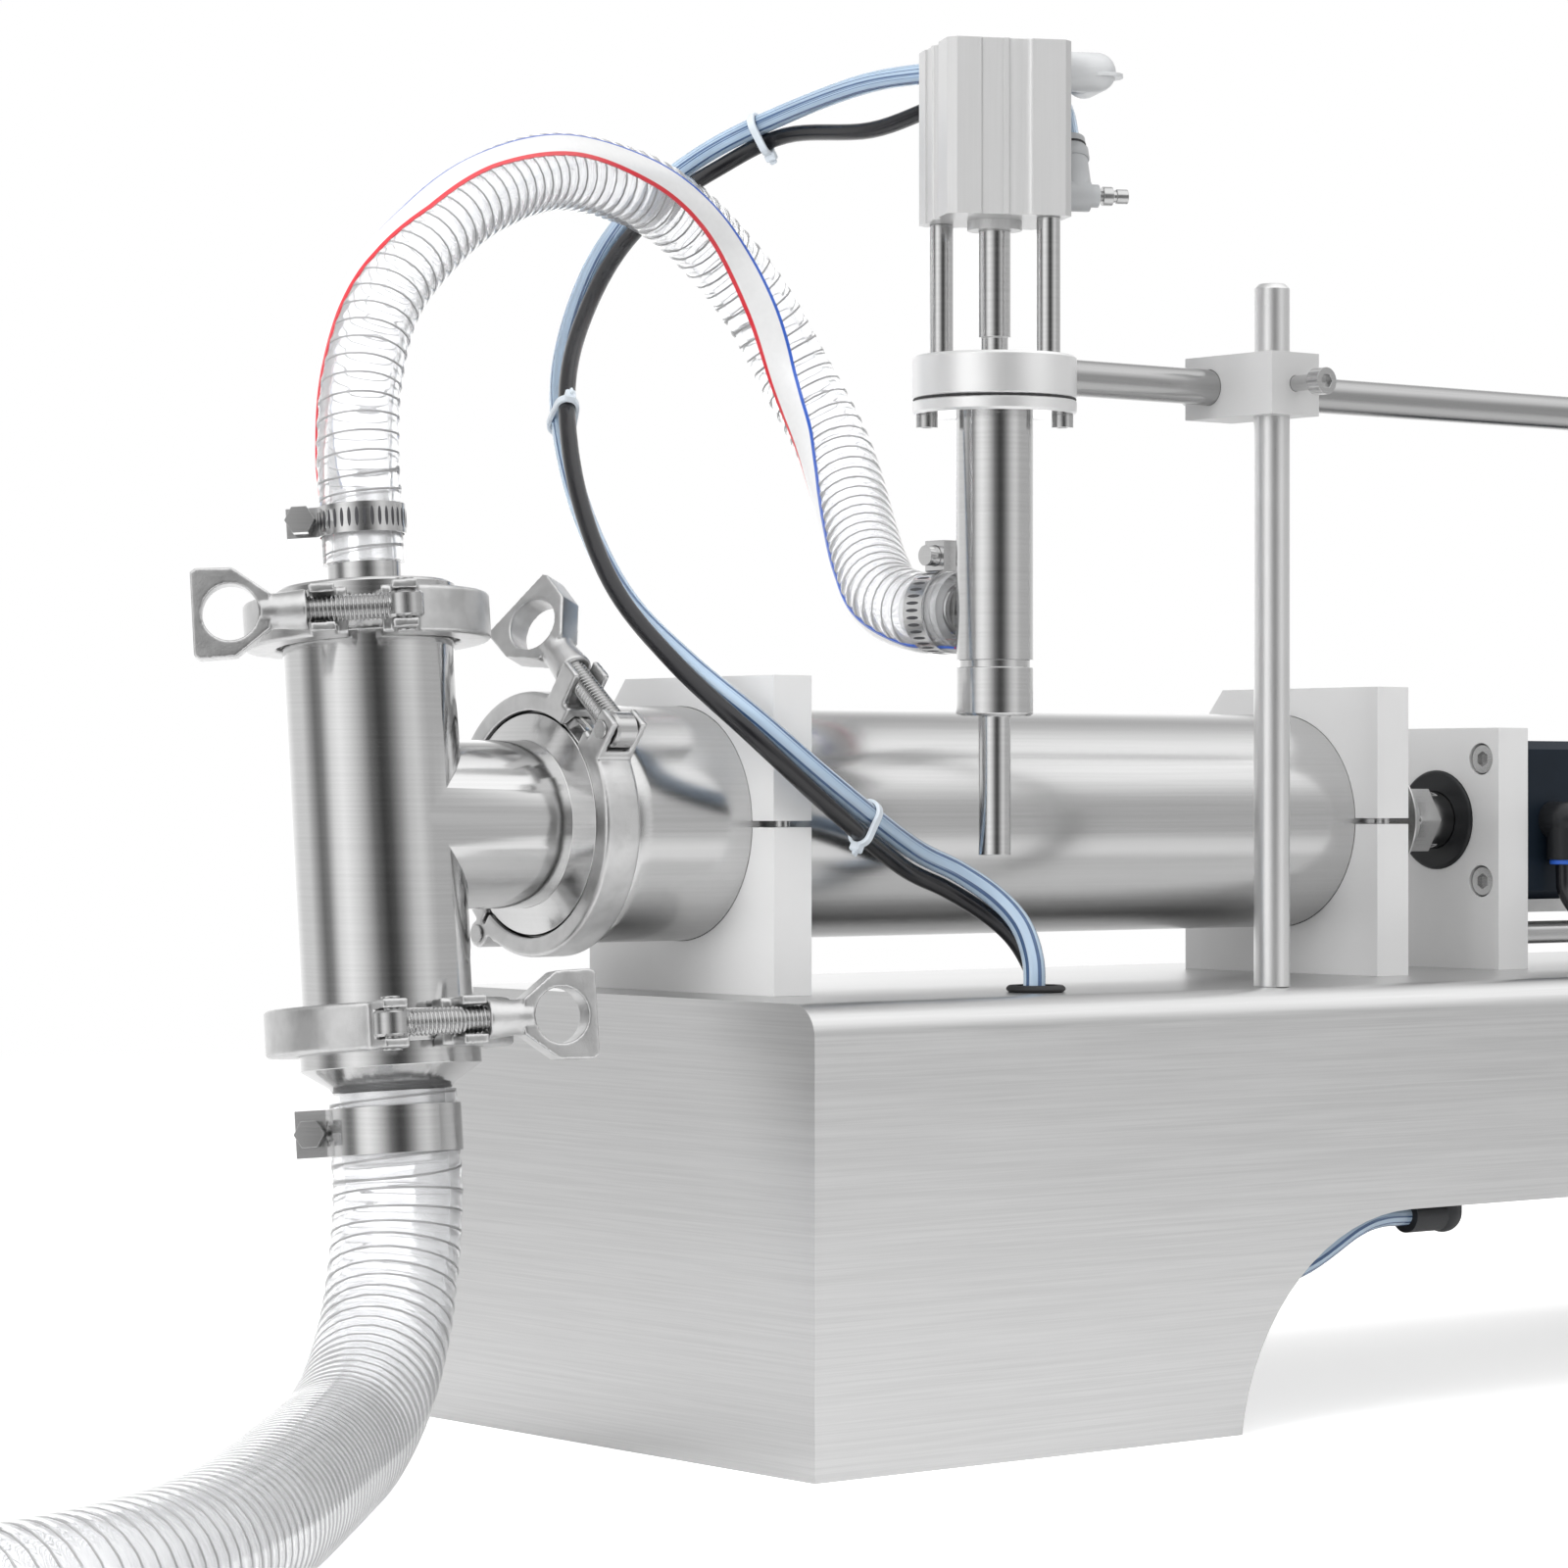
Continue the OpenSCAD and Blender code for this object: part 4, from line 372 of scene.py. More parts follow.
def brushedSteel(name, tone, look):
    # Long fine lines that run along the machine, and across it on the two ends
    bench = surface(name, Metallic=1.0)
    x, y, z = bench.split(bench.spot())
    facing = bench.split(bench.add("ShaderNodeNewGeometry", out="Normal"))
    topShare = facing[2].maths("ABSOLUTE").step(0.7, 0.9)
    acrossScale = look["along"] + (look["across"] - look["along"]) * topShare
    fine = bench.noise(bench.join(x * look["along"], y * acrossScale, z * look["across"]), 1.0, 3.0, 0.62)
    wide = bench.noise(bench.join(x * look["along"] * 0.6, y * acrossScale * 0.22,
                                  z * look["across"] * 0.22), 1.0)
    mixed = fine * 0.8 + wide * 0.2
    rough = look["rough"] + (mixed - 0.5) * look["spread"] + (bench.grain(7.0) - 0.5) * 0.06
    return wireUp(bench, toned(bench, mixed, tone, 0.93, 1.05), rough, mixed, look["depth"])


def linedSteel(name, tone, rough, scales, spread, depth):
    # Fine lines; they run where the scale is small. spread: how far lines and clouds move the roughness
    bench = surface(name, Metallic=1.0)
    scaled = [part * scale for part, scale in zip(bench.split(bench.spot()), scales)]
    lines = bench.noise(bench.join(*scaled), 1.0, 3.0, 0.6)
    rough = rough + (lines - 0.5) * spread[0] + (bench.grain(18.0) - 0.5) * spread[1]
    return wireUp(bench, toned(bench, lines, tone, 0.97, 1.03), rough, lines, depth)


def turnedSteel(name, tone, rough, ring, depth=0.000012):
    # Fine rings round the upright axis
    return linedSteel(name, tone, rough, (12.0, 12.0, ring), (0.08, 0.05), depth)


def drawnSteel(name, tone, rough):
    # Lines along the machine, on tubes and rods that lie that way
    return linedSteel(name, tone, rough, (10.0, 1500.0, 1500.0), (0.06, 0.04), 0.000004)


def castSteel(name, tone):
    # Cast and tumbled: a soft grain over wider lumps
    bench = surface(name, Metallic=1.0)
    grain, lumps = bench.grain(1400.0, 3.0, 0.6), bench.grain(160.0)
    rough = 0.34 + (grain - 0.5) * 0.12 + (lumps - 0.5) * 0.1
    return wireUp(bench, toned(bench, lumps, tone, 0.9, 1.04), rough, grain * 0.5 + lumps * 0.5, 0.00009)


def grained(bench, tone, shades, rough, grain, cloud, depth):
    # An even fine grain; grain and cloud give a noise's scale and how far it moves the roughness
    fine, wide = bench.grain(grain[0]), bench.grain(cloud[0])
    rough = rough + (fine - 0.5) * grain[1] + (wide - 0.5) * cloud[1]
    return wireUp(bench, toned(bench, wide, tone, *shades), rough, fine, depth)


def satinSteel(name, tone, rough):
    # Blasted after turning, so that it spreads the studio's reflections
    bench = surface(name, Metallic=0.85)
    return grained(bench, tone, (0.97, 1.03), rough, (2200.0, 0.1), (30.0, 0.0), 0.00002)


def satinBlock(name, tone):
    # Bead blasted and anodised aluminium
    bench = surface(name, Metallic=0.22, Specular_IOR_Level=0.5)
    return grained(bench, tone, (0.97, 1.02), 0.42, (2600.0, 0.14), (22.0, 0.05), 0.00003)


def mouldedPlastic(name, colour, rough, own=None):
    look = {"grainScale": 1500.0, "coat": 0.0, "depth": 0.00004, "shine": 0.5, **(own or {})}
    bench = surface(name, Coat_Weight=look["coat"], Coat_Roughness=0.2, Specular_IOR_Level=look["shine"])
    return grained(bench, colour, (0.88, 1.1), rough, (look["grainScale"], 0.12), (45.0, 0.06), look["depth"])


def extrudedAluminium(name, tone):
    # Drawn lines along the extrusion's height and a satin anodised skin
    bench = surface(name, Metallic=0.3)
    x, y, z = bench.split(bench.spot())
    lines = bench.noise(bench.join(x * 1800.0, y * 1800.0, z * 25.0), 1.0, 2.0, 0.6)
    colour = bench.blendShades(lines.step(0.25, 0.75), shade(tone, 0.985), shade(tone, 1.015))
    return wireUp(bench, colour, 0.34 + (lines - 0.5) * 0.16, lines, 0.00002)


def clearPlastic(name, colour, rough, ior, through):
    # Soft clear hose: a milky body, faint haze and streaks that run round the hose
    bench = surface(name, Transmission_Weight=through, IOR=ior, Coat_Weight=0.5, Coat_Roughness=0.05)
    u, v, w = bench.split(bench.spot("UV"))
    streaks = bench.noise(bench.join(u * 5.0, v * 60.0, 0.0), 1.0, 3.0, 0.6)
    haze = bench.grain(60.0, 3.0, 0.6)
    milky = bench.blendShades(haze.step(0.35, 0.7), shade(colour), shade(colour, 0.95))
    rough = rough + streaks.step(0.45, 0.75) * 0.08 + haze.step(0.5, 0.8) * 0.05
    return wireUp(bench, milky, rough, haze * 0.5 + streaks * 0.5, 0.0003)


def tubeWithPaintedRefraction(name, pale, deep):
    # Pale blue air tube: thin deep blue lines along its wall are painted refraction, dark edges of the wall as
    # seen through the tube
    bench = surface(name, Transmission_Weight=0.45, IOR=1.35, Coat_Weight=0.6, Coat_Roughness=0.06)
    u, v, w = bench.split(bench.spot("UV"))
    angle = u * (2 * math.pi)
    wall = bench.join(angle.maths("COSINE") * 2.6, angle.maths("SINE") * 2.6, v * 3.0)
    lines = bench.noise(wall, 1.0)
    # Painted refraction: the colour turns deep blue where the noise runs high, in place of the wall's refracted
    # edges
    colour = bench.blendShades(lines.step(0.54, 0.60), shade(pale), shade(deep))
    return wireUp(bench, colour, 0.10 + bench.grain(40.0) * 0.08, lines, 0.0002)


def hoseStripe(name, redShare, blueShare):
    # A white band between a red line and a blue line; u runs across the band
    bench = surface(name, Coat_Weight=0.4, Coat_Roughness=0.15)
    across = bench.split(bench.spot("UV"))[0]
    grain = bench.grain(500.0)
    band = bench.blendShades(grain, shade(0.80), shade(0.86))
    soft = 0.01
    band = bench.blendShades(across.step(redShare - soft, redShare + soft), shade((0.72, 0.02, 0.035)), band)
    band = bench.blendShades(across.step(1.0 - blueShare - soft, 1.0 - blueShare + soft), band,
                             shade((0.03, 0.11, 0.52)))
    return wireUp(bench, band, 0.34 + (grain - 0.5) * 0.1, grain, 0.00004)


finishLooks = {
    brushedSteel: {"brushedSheet": (0.66, {"along": 14.0, "across": 1250.0, "rough": 0.34, "spread": 0.20,
                                           "depth": 0.000016})},
    turnedSteel: {"polishedTube": (0.66, 0.13, 1100.0, 0.000002),
                  "fineSteel": (0.66, 0.17, 1300.0, 0.000003),
                  "screwSteel": (0.56, 0.24, 2200.0), "wireSteel": (0.18, 0.34, 300.0)},
    drawnSteel: {"turnedTube": (0.60, 0.22), "crossSteel": (0.52, 0.20), "armSteel": (0.42, 0.24)},
    satinSteel: {"satinSteel": (0.74, 0.30), "satinFlange": (0.90, 0.40)},
    castSteel: {"castSteel": (0.65,)},
    satinBlock: {"satinBlock": (0.80,), "blastedBlock": (0.60,)},
    extrudedAluminium: {"extrudedAluminium": (0.56,)},
    mouldedPlastic: {
        "greyFitting": ((0.44, 0.45, 0.46), 0.42, {"coat": 0.15}),
        "paleFitting": ((0.58, 0.59, 0.60), 0.40, {"coat": 0.2}),
        "darkBlueAnodised": ((0.009, 0.015, 0.024), 0.42, {"grainScale": 2400.0, "shine": 0.16}),
        "blackPlastic": ((0.014, 0.015, 0.017), 0.40, {"coat": 0.05, "shine": 0.35}),
        "blackRubber": ((0.020, 0.020, 0.021), 0.62, {"grainScale": 900.0}),
        "whitePlastic": ((0.80, 0.80, 0.78), 0.35),
        "blackTube": ((0.008, 0.008, 0.010), 0.24, {"grainScale": 300.0, "coat": 0.12, "depth": 0.000004}),
        "blueRing": ((0.03, 0.12, 0.55), 0.35),
        "nylonTie": ((0.72, 0.78, 0.84), 0.40),
        # Painted shade for the openings of the clamp bands' slots
        "slotDark": ((0.05, 0.05, 0.055), 0.55)},
    clearPlastic: {"clearHose": ((0.925, 0.93, 0.94), 0.05, 1.26, 0.76)},
    tubeWithPaintedRefraction: {"blueTube": ((0.58, 0.72, 0.86), (0.07, 0.13, 0.26))},
    hoseStripe: {"hoseStripe": (0.13, 0.10)},
}
finishes = {name: make(name, *look) for make, looks in finishLooks.items() for name, look in looks.items()}
print("materials made")

# Record: bodies
bodyOf = {node: body for body, members in frame["record"]["behaviour"]["bodies"].items()
          for node in members}


def standFor(piece, node):
    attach(piece, bodyOf[node])
    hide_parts(node)
    return piece


# Geometry Nodes: the hoses' wires and the bands' slots
def newTree(name, sizes):
    tree = bpy.data.node_groups.new(name, "GeometryNodeTree")
    for label, kind in {"Geometry": "Geometry", **sizes}.items():
        tree.interface.new_socket(label, in_out="INPUT", socket_type="NodeSocket" + kind)
    tree.interface.new_socket("Geometry", in_out="OUTPUT", socket_type="NodeSocketGeometry")
    bench = Bench(tree)
    bench.start = bench.add("NodeGroupInput").socket.node
    return bench


def given(bench, label):
    return Wire(bench, bench.start.outputs[label])


def finishTree(bench, geometry):
    whole = bench.add("GeometryNodeRealizeInstances", {}, {0: geometry})
    painted = bench.add("GeometryNodeSetMaterial", {},
                        {"Geometry": whole, "Material": given(bench, "Material")})
    bench.add("NodeGroupOutput", {}, {0: painted})
    return bench.tree


def shapeFrom(name, mesh, tree, sizes):
    # Runs a tree over a mesh and keeps the result as one plain mesh
    holder = newPiece(name + "Holder", mesh)
    modifier = holder.modifiers.new("shape", "NODES")
    modifier.node_group = tree
    for item in tree.interface.items_tree:
        if item.item_type == "SOCKET" and item.in_out == "INPUT" and item.name in sizes:
            modifier[item.identifier] = sizes[item.name]
    result = evaluatedMesh(holder)
    bpy.data.objects.remove(holder)
    result.name = name
    smoothFaces(result)
    return newPiece(name, result)


def coilTree():
    # A wire wound round the line: the line carries its own side direction
    bench = newTree("coilWire", {"Step": "Float", "Pitch": "Float", "Radius": "Float", "Wire": "Float",
                                 "Sides": "Int", "Material": "Material"})
    line = bench.add("GeometryNodeMeshToCurve", {}, {"Mesh": given(bench, "Geometry")})
    line = bench.add("GeometryNodeResampleCurve", {"mode": "LENGTH"},
                     {"Curve": line, "Length": given(bench, "Step")})
    along = bench.add("GeometryNodeSplineParameter", out="Length")
    tangent = bench.add("GeometryNodeInputTangent")
    side = bench.add("GeometryNodeInputNamedAttribute", {"data_type": "FLOAT_VECTOR"}, {"Name": "side"})
    other = bench.add("ShaderNodeVectorMath", {"operation": "CROSS_PRODUCT"}, {0: tangent, 1: side})
    angle = along / given(bench, "Pitch") * (2 * math.pi)
    out = []
    for vector, operation in ((side, "COSINE"), (other, "SINE")):
        share = angle.maths(operation) * given(bench, "Radius")
        out.append(bench.add("ShaderNodeVectorMath", {"operation": "SCALE"}, {0: vector, 3: share}))
    offset = bench.add("ShaderNodeVectorMath", {"operation": "ADD"}, {0: out[0], 1: out[1]})
    wound = bench.add("GeometryNodeSetPosition", {}, {"Geometry": line, "Offset": offset})
    ring = bench.add("GeometryNodeCurvePrimitiveCircle", {"mode": "RADIUS"},
                     {"Resolution": given(bench, "Sides"), "Radius": given(bench, "Wire")})
    wire = {"Curve": wound, "Profile Curve": ring, "Fill Caps": True}
    return finishTree(bench, bench.add("GeometryNodeCurveToMesh", {}, wire))


coil = coilTree()


def guideMesh(name, line, first):
    # The line as a chain of edges, with the side direction on each point
    mesh = bpy.data.meshes.new(name)
    mesh.from_pydata([tuple(p) for p in line], [(i, i + 1) for i in range(len(line) - 1)], [])
    sides = lineFrames(line, first)[1]
    layer = mesh.attributes.new("side", "FLOAT_VECTOR", "POINT")
    layer.data.foreach_set("vector", [c for side in sides for c in side])
    return mesh


# Clear hoses
discharge = {"od": 24.5, "wall": 3.0, "pitch": 5.6, "rib": 0.36, "plain": 15.0, "wire": 0.34, "sides": 40,
             "stripeTurn": -50.0}
suction = {"od": 38.0, "wall": 3.0, "pitch": 5.7, "rib": 0.38, "plain": 12.0, "wire": 0.34, "sides": 44}
hoseMesh = {"steps": 12, "stepsPerRib": 6, "stepsPerWind": 20, "fade": 6.0, "crest": 1.6, "wireDepth": 0.2,
            "wireSides": 6, "stripeSteps": 12, "stripeOut": 0.1, "stripeIn": 0.5}
# Angle of the stripe's red edge round the discharge hose, by the share of the hose's length
redEdge = [(0.0, -246), (0.05, -224), (0.105, -194), (0.145, -175), (0.185, -148), (0.235, -126),
           (0.302, -112), (0.392, -84), (0.448, -66), (0.515, -45), (0.592, -14), (0.648, 10), (0.70, 33),
           (0.785, 64), (0.88, 88), (0.978, 142), (1.0, 150)]


def tableAt(table, share):
    for (a, low), (b, high) in zip(table, table[1:]):
        if share <= b:
            t = (share - a) / (b - a)
            return low + (high - low) * t
    return table[-1][1]


def ribSteps(hose, total):
    return int(round(total / (hose["pitch"] * mm) * hoseMesh["stepsPerRib"]))


def ribHeight(hose, run, total, angle):
    # The ribs follow the wire: they wind round the hose, and both ends stay plain
    ends = min(run, total - run) / mm - hose["plain"]
    share = max(0.0, min(1.0, ends / hoseMesh["fade"]))
    wave = 0.5 + 0.5 * math.cos(2 * math.pi * (run / (hose["pitch"] * mm)) - angle)
    return share * hose["rib"] * mm * wave ** hoseMesh["crest"]


def clearHose(name, route, hose):
    line = smoothLine(route, hoseMesh["steps"])
    total = lineLength(line)
    count = ribSteps(hose, total)
    coarse = count // 3
    fine = evenLine(line, count)
    outer, wall, pitch = hose["od"] / 2 * mm, hose["wall"] * mm, hose["pitch"] * mm
    skin = roundRings(fine, alongX, hose["sides"],
                      lambda i, angle: outer + ribHeight(hose, total * i / count, total, angle))
    bore = roundRings(evenLine(line, coarse), alongX, hose["sides"], lambda i, angle: outer - wall)
    shares = [i / count for i in range(count + 1)] + [i / coarse for i in range(coarse, -1, -1)]
    mesh = skinMesh(name, skin + bore[::-1], closedAlong=True, stretch=shares)
    smoothFaces(mesh, sharpAngle=60)
    piece = newPiece(name, mesh, "clearHose")
    wire = shapeFrom(name + "Wire", guideMesh(name + "Line", fine, alongX), coil,
                     {"Step": pitch / hoseMesh["stepsPerWind"], "Pitch": pitch,
                      "Radius": outer - wall * hoseMesh["wireDepth"], "Wire": hose["wire"] * mm,
                      "Sides": hoseMesh["wireSides"], "Material": finishes["wireSteel"]})
    return piece, wire, line, total


suctionSkin, suctionWire, suctionLine, suctionLength = clearHose(
    "suctionSkin", fromBench(suctionRoute), suction)
standFor(suctionSkin, "suction_hose")
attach(suctionWire, "frame")
[tuple(p) for p in suctionLine[::4] + [suctionLine[-1]]]
print("suction hose", round(suctionLength, 4))

dischargeSkin, dischargeWire, dischargeLine, dischargeLength = clearHose(
    "dischargeSkin", fromLeft(dischargeRoute), discharge)
print("discharge hose", round(dischargeLength, 4))


def stripeMesh(name, line, total, hose):
    # The band lies on the ribs: its ring of points goes over the top and back underneath
    count, across = ribSteps(hose, total), hoseMesh["stripeSteps"]
    fine = evenLine(line, count)
    crest = (hose["od"] / 2 + hose["rib"]) * mm
    rings = []
    for i, (point, tangent, side) in enumerate(zip(fine, *lineFrames(fine, alongX))):
        other = tangent.cross(side)
        red = tableAt(redEdge, i / count)
        top, under = [], []
        for k in range(across + 1):
            angle = math.radians(red + hose["stripeTurn"] * k / across)
            out = math.cos(angle) * side + math.sin(angle) * other
            top.append(point + (crest + hoseMesh["stripeOut"] * mm) * out)
            under.append(point + (crest - hoseMesh["stripeIn"] * mm) * out)
        rings.append(top + under[::-1])
    shares = [k / across for k in range(across + 1)]
    mesh = skinMesh(name, rings, caps=True, roundShares=shares + shares[::-1] + [0.0])
    smoothFaces(mesh, sharpAngle=50)
    return mesh


stripe = stripeMesh("dischargeStripe", dischargeLine, dischargeLength, discharge)
dischargeStripe = newPiece("dischargeStripe", stripe, "hoseStripe")
for piece in (dischargeSkin, dischargeWire, dischargeStripe):
    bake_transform(piece)
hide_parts("discharge_hose")

# Air tubes
tubes = {"blueOd": 7.0, "blueBore": 4.6, "blackOd": 5.5, "steps": 8, "sides": 20}


def airTube(name, route, od, finish, bore=None):
    line, sides = smoothLine(route, tubes["steps"]), tubes["sides"]
    rings = roundRings(line, alongY, sides, lambda i, angle: od / 2 * mm)
    if bore:
        rings += roundRings(line, alongY, sides, lambda i, angle: bore / 2 * mm)[::-1]
    mesh = skinMesh(name, rings, closedAlong=bool(bore), caps=not bore)
    smoothFaces(mesh, sharpAngle=60)
    return newPiece(name, mesh, finish)


blueAirTube = airTube("blueAirTube", fromLeft(blueStart) + besideBundle(bundle["blueOut"])
                      + fromLeft(blueEnd), tubes["blueOd"], "blueTube", tubes["blueBore"])
blackAirTube = airTube("blackAirTube", fromLeft(blackStart) + besideBundle(bundle["blackOut"])
                       + fromLeft(blackEnd), tubes["blackOd"], "blackTube")
for piece, node in ((blueAirTube, "blue_air_tube"), (blackAirTube, "black_air_tube")):
    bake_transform(piece)
    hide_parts(node)
for name, route in (("frontAirTube", frontTube), ("rearAirTube", rearTube), ("supplyAirTube", supplyTube)):
    tube = airTube(name, fromLeft(route), tubes["blackOd"], "blackTube")
    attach(tube, "frame")
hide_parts("base_air_tubes")
print("air tubes laid")

# Cable ties round the pair of tubes, at shares of the bundle's length
cableTies = {"shares": (0.366, 0.688, 0.985), "steps": 12, "sides": 48, "width": 2.6, "thick": 1.1,
             "gap": 0.15, "edge": 0.25, "head": 3.6, "tail": 1.0, "bevel": 0.35}


def tieShape(across, other, tubesIn):
    # The loop hugs two round tubes: each direction touches the tube that reaches further
    outline = []
    for angle in roundAngles(cableTies["sides"]):
        out = math.cos(angle) * across + math.sin(angle) * other
        reach, radius = max(tubesIn, key=lambda tube: tube[0] * out.dot(across) + tube[1])
        outline.append((out, reach * across, radius))
    return outline


def cableTie(name, share):
    line, blue, black = [smoothLine(points, cableTies["steps"]) for points in
                         (fromLeft(bundleRoute), besideBundle(bundle["blueOut"]),
                          besideBundle(bundle["blackOut"]))]
    i = min(len(line) - 2, max(1, int(share * (len(line) - 1))))
    tangent = (line[i + 1] - line[i - 1]).normalized()
    across = blue[i] - black[i]
    across = (across - across.dot(tangent) * tangent).normalized()
    other = tangent.cross(across)
    centre = (blue[i] + black[i]) / 2
    reach = (blue[i] - black[i]).length / 2
    blueRadius, blackRadius = tubes["blueOd"] / 2 * mm, tubes["blackOd"] / 2 * mm
    half, edge = cableTies["width"] / 2 * mm, cableTies["edge"] * mm
    rings = []
    for out, aside, inner in tieShape(across, other, ((reach, blueRadius), (-reach, blackRadius))):
        low = inner + cableTies["gap"] * mm
        high = low + cableTies["thick"] * mm
        section = [(low, -half), (high - edge, -half), (high, edge - half), (high, half - edge),
                   (high - edge, half), (low, half)]
        rings.append([centre + aside + out * r + tangent * w for r, w in section])
    mesh = skinMesh(name, rings, closedAlong=True)
    smoothFaces(mesh, sharpAngle=40)
    # The head and a short cut tail stand off the loop, beside the black tube
    head = cableTies["head"] * mm
    base = centre - across * (reach + blackRadius + head * 0.45)
    turn = Matrix((across, other, tangent)).transposed().to_4x4()
    blocks = ((base, (head * 0.8, head * 0.9, head)),
              (base - across * head * 0.5, (head * 0.5, cableTies["tail"] * mm, cableTies["width"] * mm)))
    work = bmesh.new()
    work.from_mesh(mesh)
    corners = []
    for spot, size in blocks:
        stand = Matrix.Translation(spot) @ turn @ Matrix.Diagonal((*size, 1.0))
        corners += bmesh.ops.create_cube(work, size=1.0, matrix=stand)["verts"]
    edges = list(dict.fromkeys(e for v in corners for e in v.link_edges))
    bmesh.ops.bevel(work, geom=edges, offset=cableTies["bevel"] * mm, segments=3, affect="EDGES")
    settle(work, mesh)
    return newPiece(name, mesh, "nylonTie")


for number, share in enumerate(cableTies["shares"]):
    tie = cableTie("cableTie" + str(number + 1), share)
    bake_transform(tie)


# Places of the clamps
def moved(x, y, z):
    return Matrix.Translation((x, y, z))


def turned(degrees, axis):
    return Matrix.Rotation(math.radians(degrees), 4, axis)


def onTee(along):
    return (moved(place["baseLeft"] - place["teeReach"], 0, place["axisHeight"])
            @ turned(-place["teeTurn"], "X") @ moved(0, 0, along))


def onNozzle(z):
    return moved(place["baseLeft"] + place["nozzleAlong"], place["nozzleAcross"], z)


clamps = {
    "top": {"matrix": onTee(60.5) @ turned(-125, "Z"), "ring": 36.7},
    "side": {"matrix": moved(place["baseLeft"] - 24.7, 0, place["axisHeight"]) @ turned(218, "X")
             @ turned(90, "Y"), "ring": 40.5},
    "bottom": {"matrix": onTee(-60.5) @ turned(-107, "Z") @ turned(180, "X"), "ring": 36.7},
}


# Dressed CAD pieces: neighbours flatter than "flat" are joined, edges over "sharp" are bevelled
dressing = {"merge": 0.000003, "flat": 0.6, "sharp": 30.0}


def cleanCopy(node):
    mesh = frame["nodes"][node].data.copy()
    mesh.name = node + "Finished"
    work = bmesh.new()
    work.from_mesh(mesh)
    bmesh.ops.remove_doubles(work, verts=work.verts, dist=dressing["merge"])
    bmesh.ops.dissolve_limit(work, angle_limit=math.radians(dressing["flat"]), verts=work.verts,
                             edges=work.edges)
    settle(work, mesh)
    return mesh


def addModifier(piece, name, kind, **settings):
    modifier = piece.modifiers.new(name, kind)
    for key, value in settings.items():
        setattr(modifier, key, value)


def applyModifiers(piece):
    result = evaluatedMesh(piece)
    piece.modifiers.clear()
    piece.data = result


def dressed(node, finish, bevel, steps=2):
    piece = newPiece(node + "Finished", cleanCopy(node), finish)
    smoothFaces(piece.data)
    addModifier(piece, "edges", "BEVEL", width=bevel * mm, segments=steps, limit_method="ANGLE",
                angle_limit=math.radians(dressing["sharp"]), use_clamp_overlap=True)
    addModifier(piece, "evenShade", "WEIGHTED_NORMAL", mode="FACE_AREA", weight=100, keep_sharp=True)
    applyModifiers(piece)
    return standFor(piece, node)


def castPiece(node, finish, voxel, passes, keep):
    # Cast pieces: the edges and inner corners run together
    piece = newPiece(node + "Finished", cleanCopy(node), finish)
    addModifier(piece, "grid", "REMESH", mode="VOXEL", voxel_size=voxel * mm)
    addModifier(piece, "soften", "SMOOTH", factor=0.5, iterations=passes)
    addModifier(piece, "thin", "DECIMATE", ratio=keep)
    applyModifiers(piece)
    paint(piece.data, finish)
    smoothFaces(piece.data)
    return standFor(piece, node)


# Finish and bevel's width in mm, then the bevel's steps where they aren't two
pieceLooks = {
    "base_frame": ("brushedSheet", 0.5, 3), "saddles": ("satinBlock", 0.5),
    "saddle_caps": ("satinBlock", 0.5), "air_mounts": ("satinBlock", 0.5), "cross_clamp": ("blastedBlock", 0.5),
    "block_screws": ("screwSteel", 0.25), "product_cylinder": ("turnedTube", 0.4),
    "tee_body": ("polishedTube", 0.3), "ferrule_gaskets": ("whitePlastic", 0.1, 1),
    "outlet_adapter": ("fineSteel", 0.25), "inlet_adapter": ("fineSteel", 0.25),
    "valve_cages": ("fineSteel", 0.2, 1), "outlet_poppet": ("whitePlastic", 0.3),
    "inlet_poppet": ("whitePlastic", 0.3), "clamp_pins": ("screwSteel", 0.2),
    "product_piston": ("whitePlastic", 0.3), "piston_seals": ("blackRubber", 0.3),
    "rod_coupling": ("screwSteel", 0.4), "air_piston_rod": ("crossSteel", 0.3),
    "rod_gland": ("blackPlastic", 0.4), "air_barrel": ("darkBlueAnodised", 0.4),
    "air_cylinder_caps": ("darkBlueAnodised", 0.5), "sensor_rail": ("extrudedAluminium", 0.3),
    "sensor_carriage": ("greyFitting", 0.6), "handwheel": ("blackPlastic", 0.5),
    "cylinder_elbows": ("blackPlastic", 0.3), "grommets": ("blackRubber", 0.5),
    "post": ("satinSteel", 0.3), "arm_rod": ("armSteel", 0.3), "arm_screws": ("screwSteel", 0.3),
    "nozzle_flange": ("satinFlange", 0.35), "nozzle_body": ("fineSteel", 0.3),
    "nozzle_tip": ("fineSteel", 0.2), "tie_rods": ("fineSteel", 0.2, 1),
    "actuator_body": ("extrudedAluminium", 0.25), "plunger_rod": ("fineSteel", 0.25),
    "plunger_seal": ("whitePlastic", 0.3), "actuator_elbow": ("paleFitting", 0.4),
    "flow_control": ("greyFitting", 0.4), "needle_knob": ("screwSteel", 0.25),
    "hose_clamps": ("fineSteel", 0.15, 1), "nozzle_hose_clamp": ("fineSteel", 0.15, 1),
    "control_valve": ("blackPlastic", 0.6), "air_inlet": ("screwSteel", 0.4),
}
dressedPieces = {node: dressed(node, *look) for node, look in pieceLooks.items()}
print("pieces dressed", len(pieceLooks))
# Voxel in mm, passes that soften it, share of the faces kept
castLooks = {"_clamp_halves": (0.5, 4, 0.45), "_wing_nut": (0.36, 9, 0.5)}
for side in clamps:
    for part, look in castLooks.items():
        castPiece(side + part, "castSteel", *look)
print("clamps and wing nuts cast")


# A second finish on part of a piece
def secondFinish(node, finish, chosen):
    mesh = dressedPieces[node].data
    mesh.materials.append(finishes[finish])
    for face in mesh.polygons:
        if chosen(face.center / mm):
            face.material_index = 1


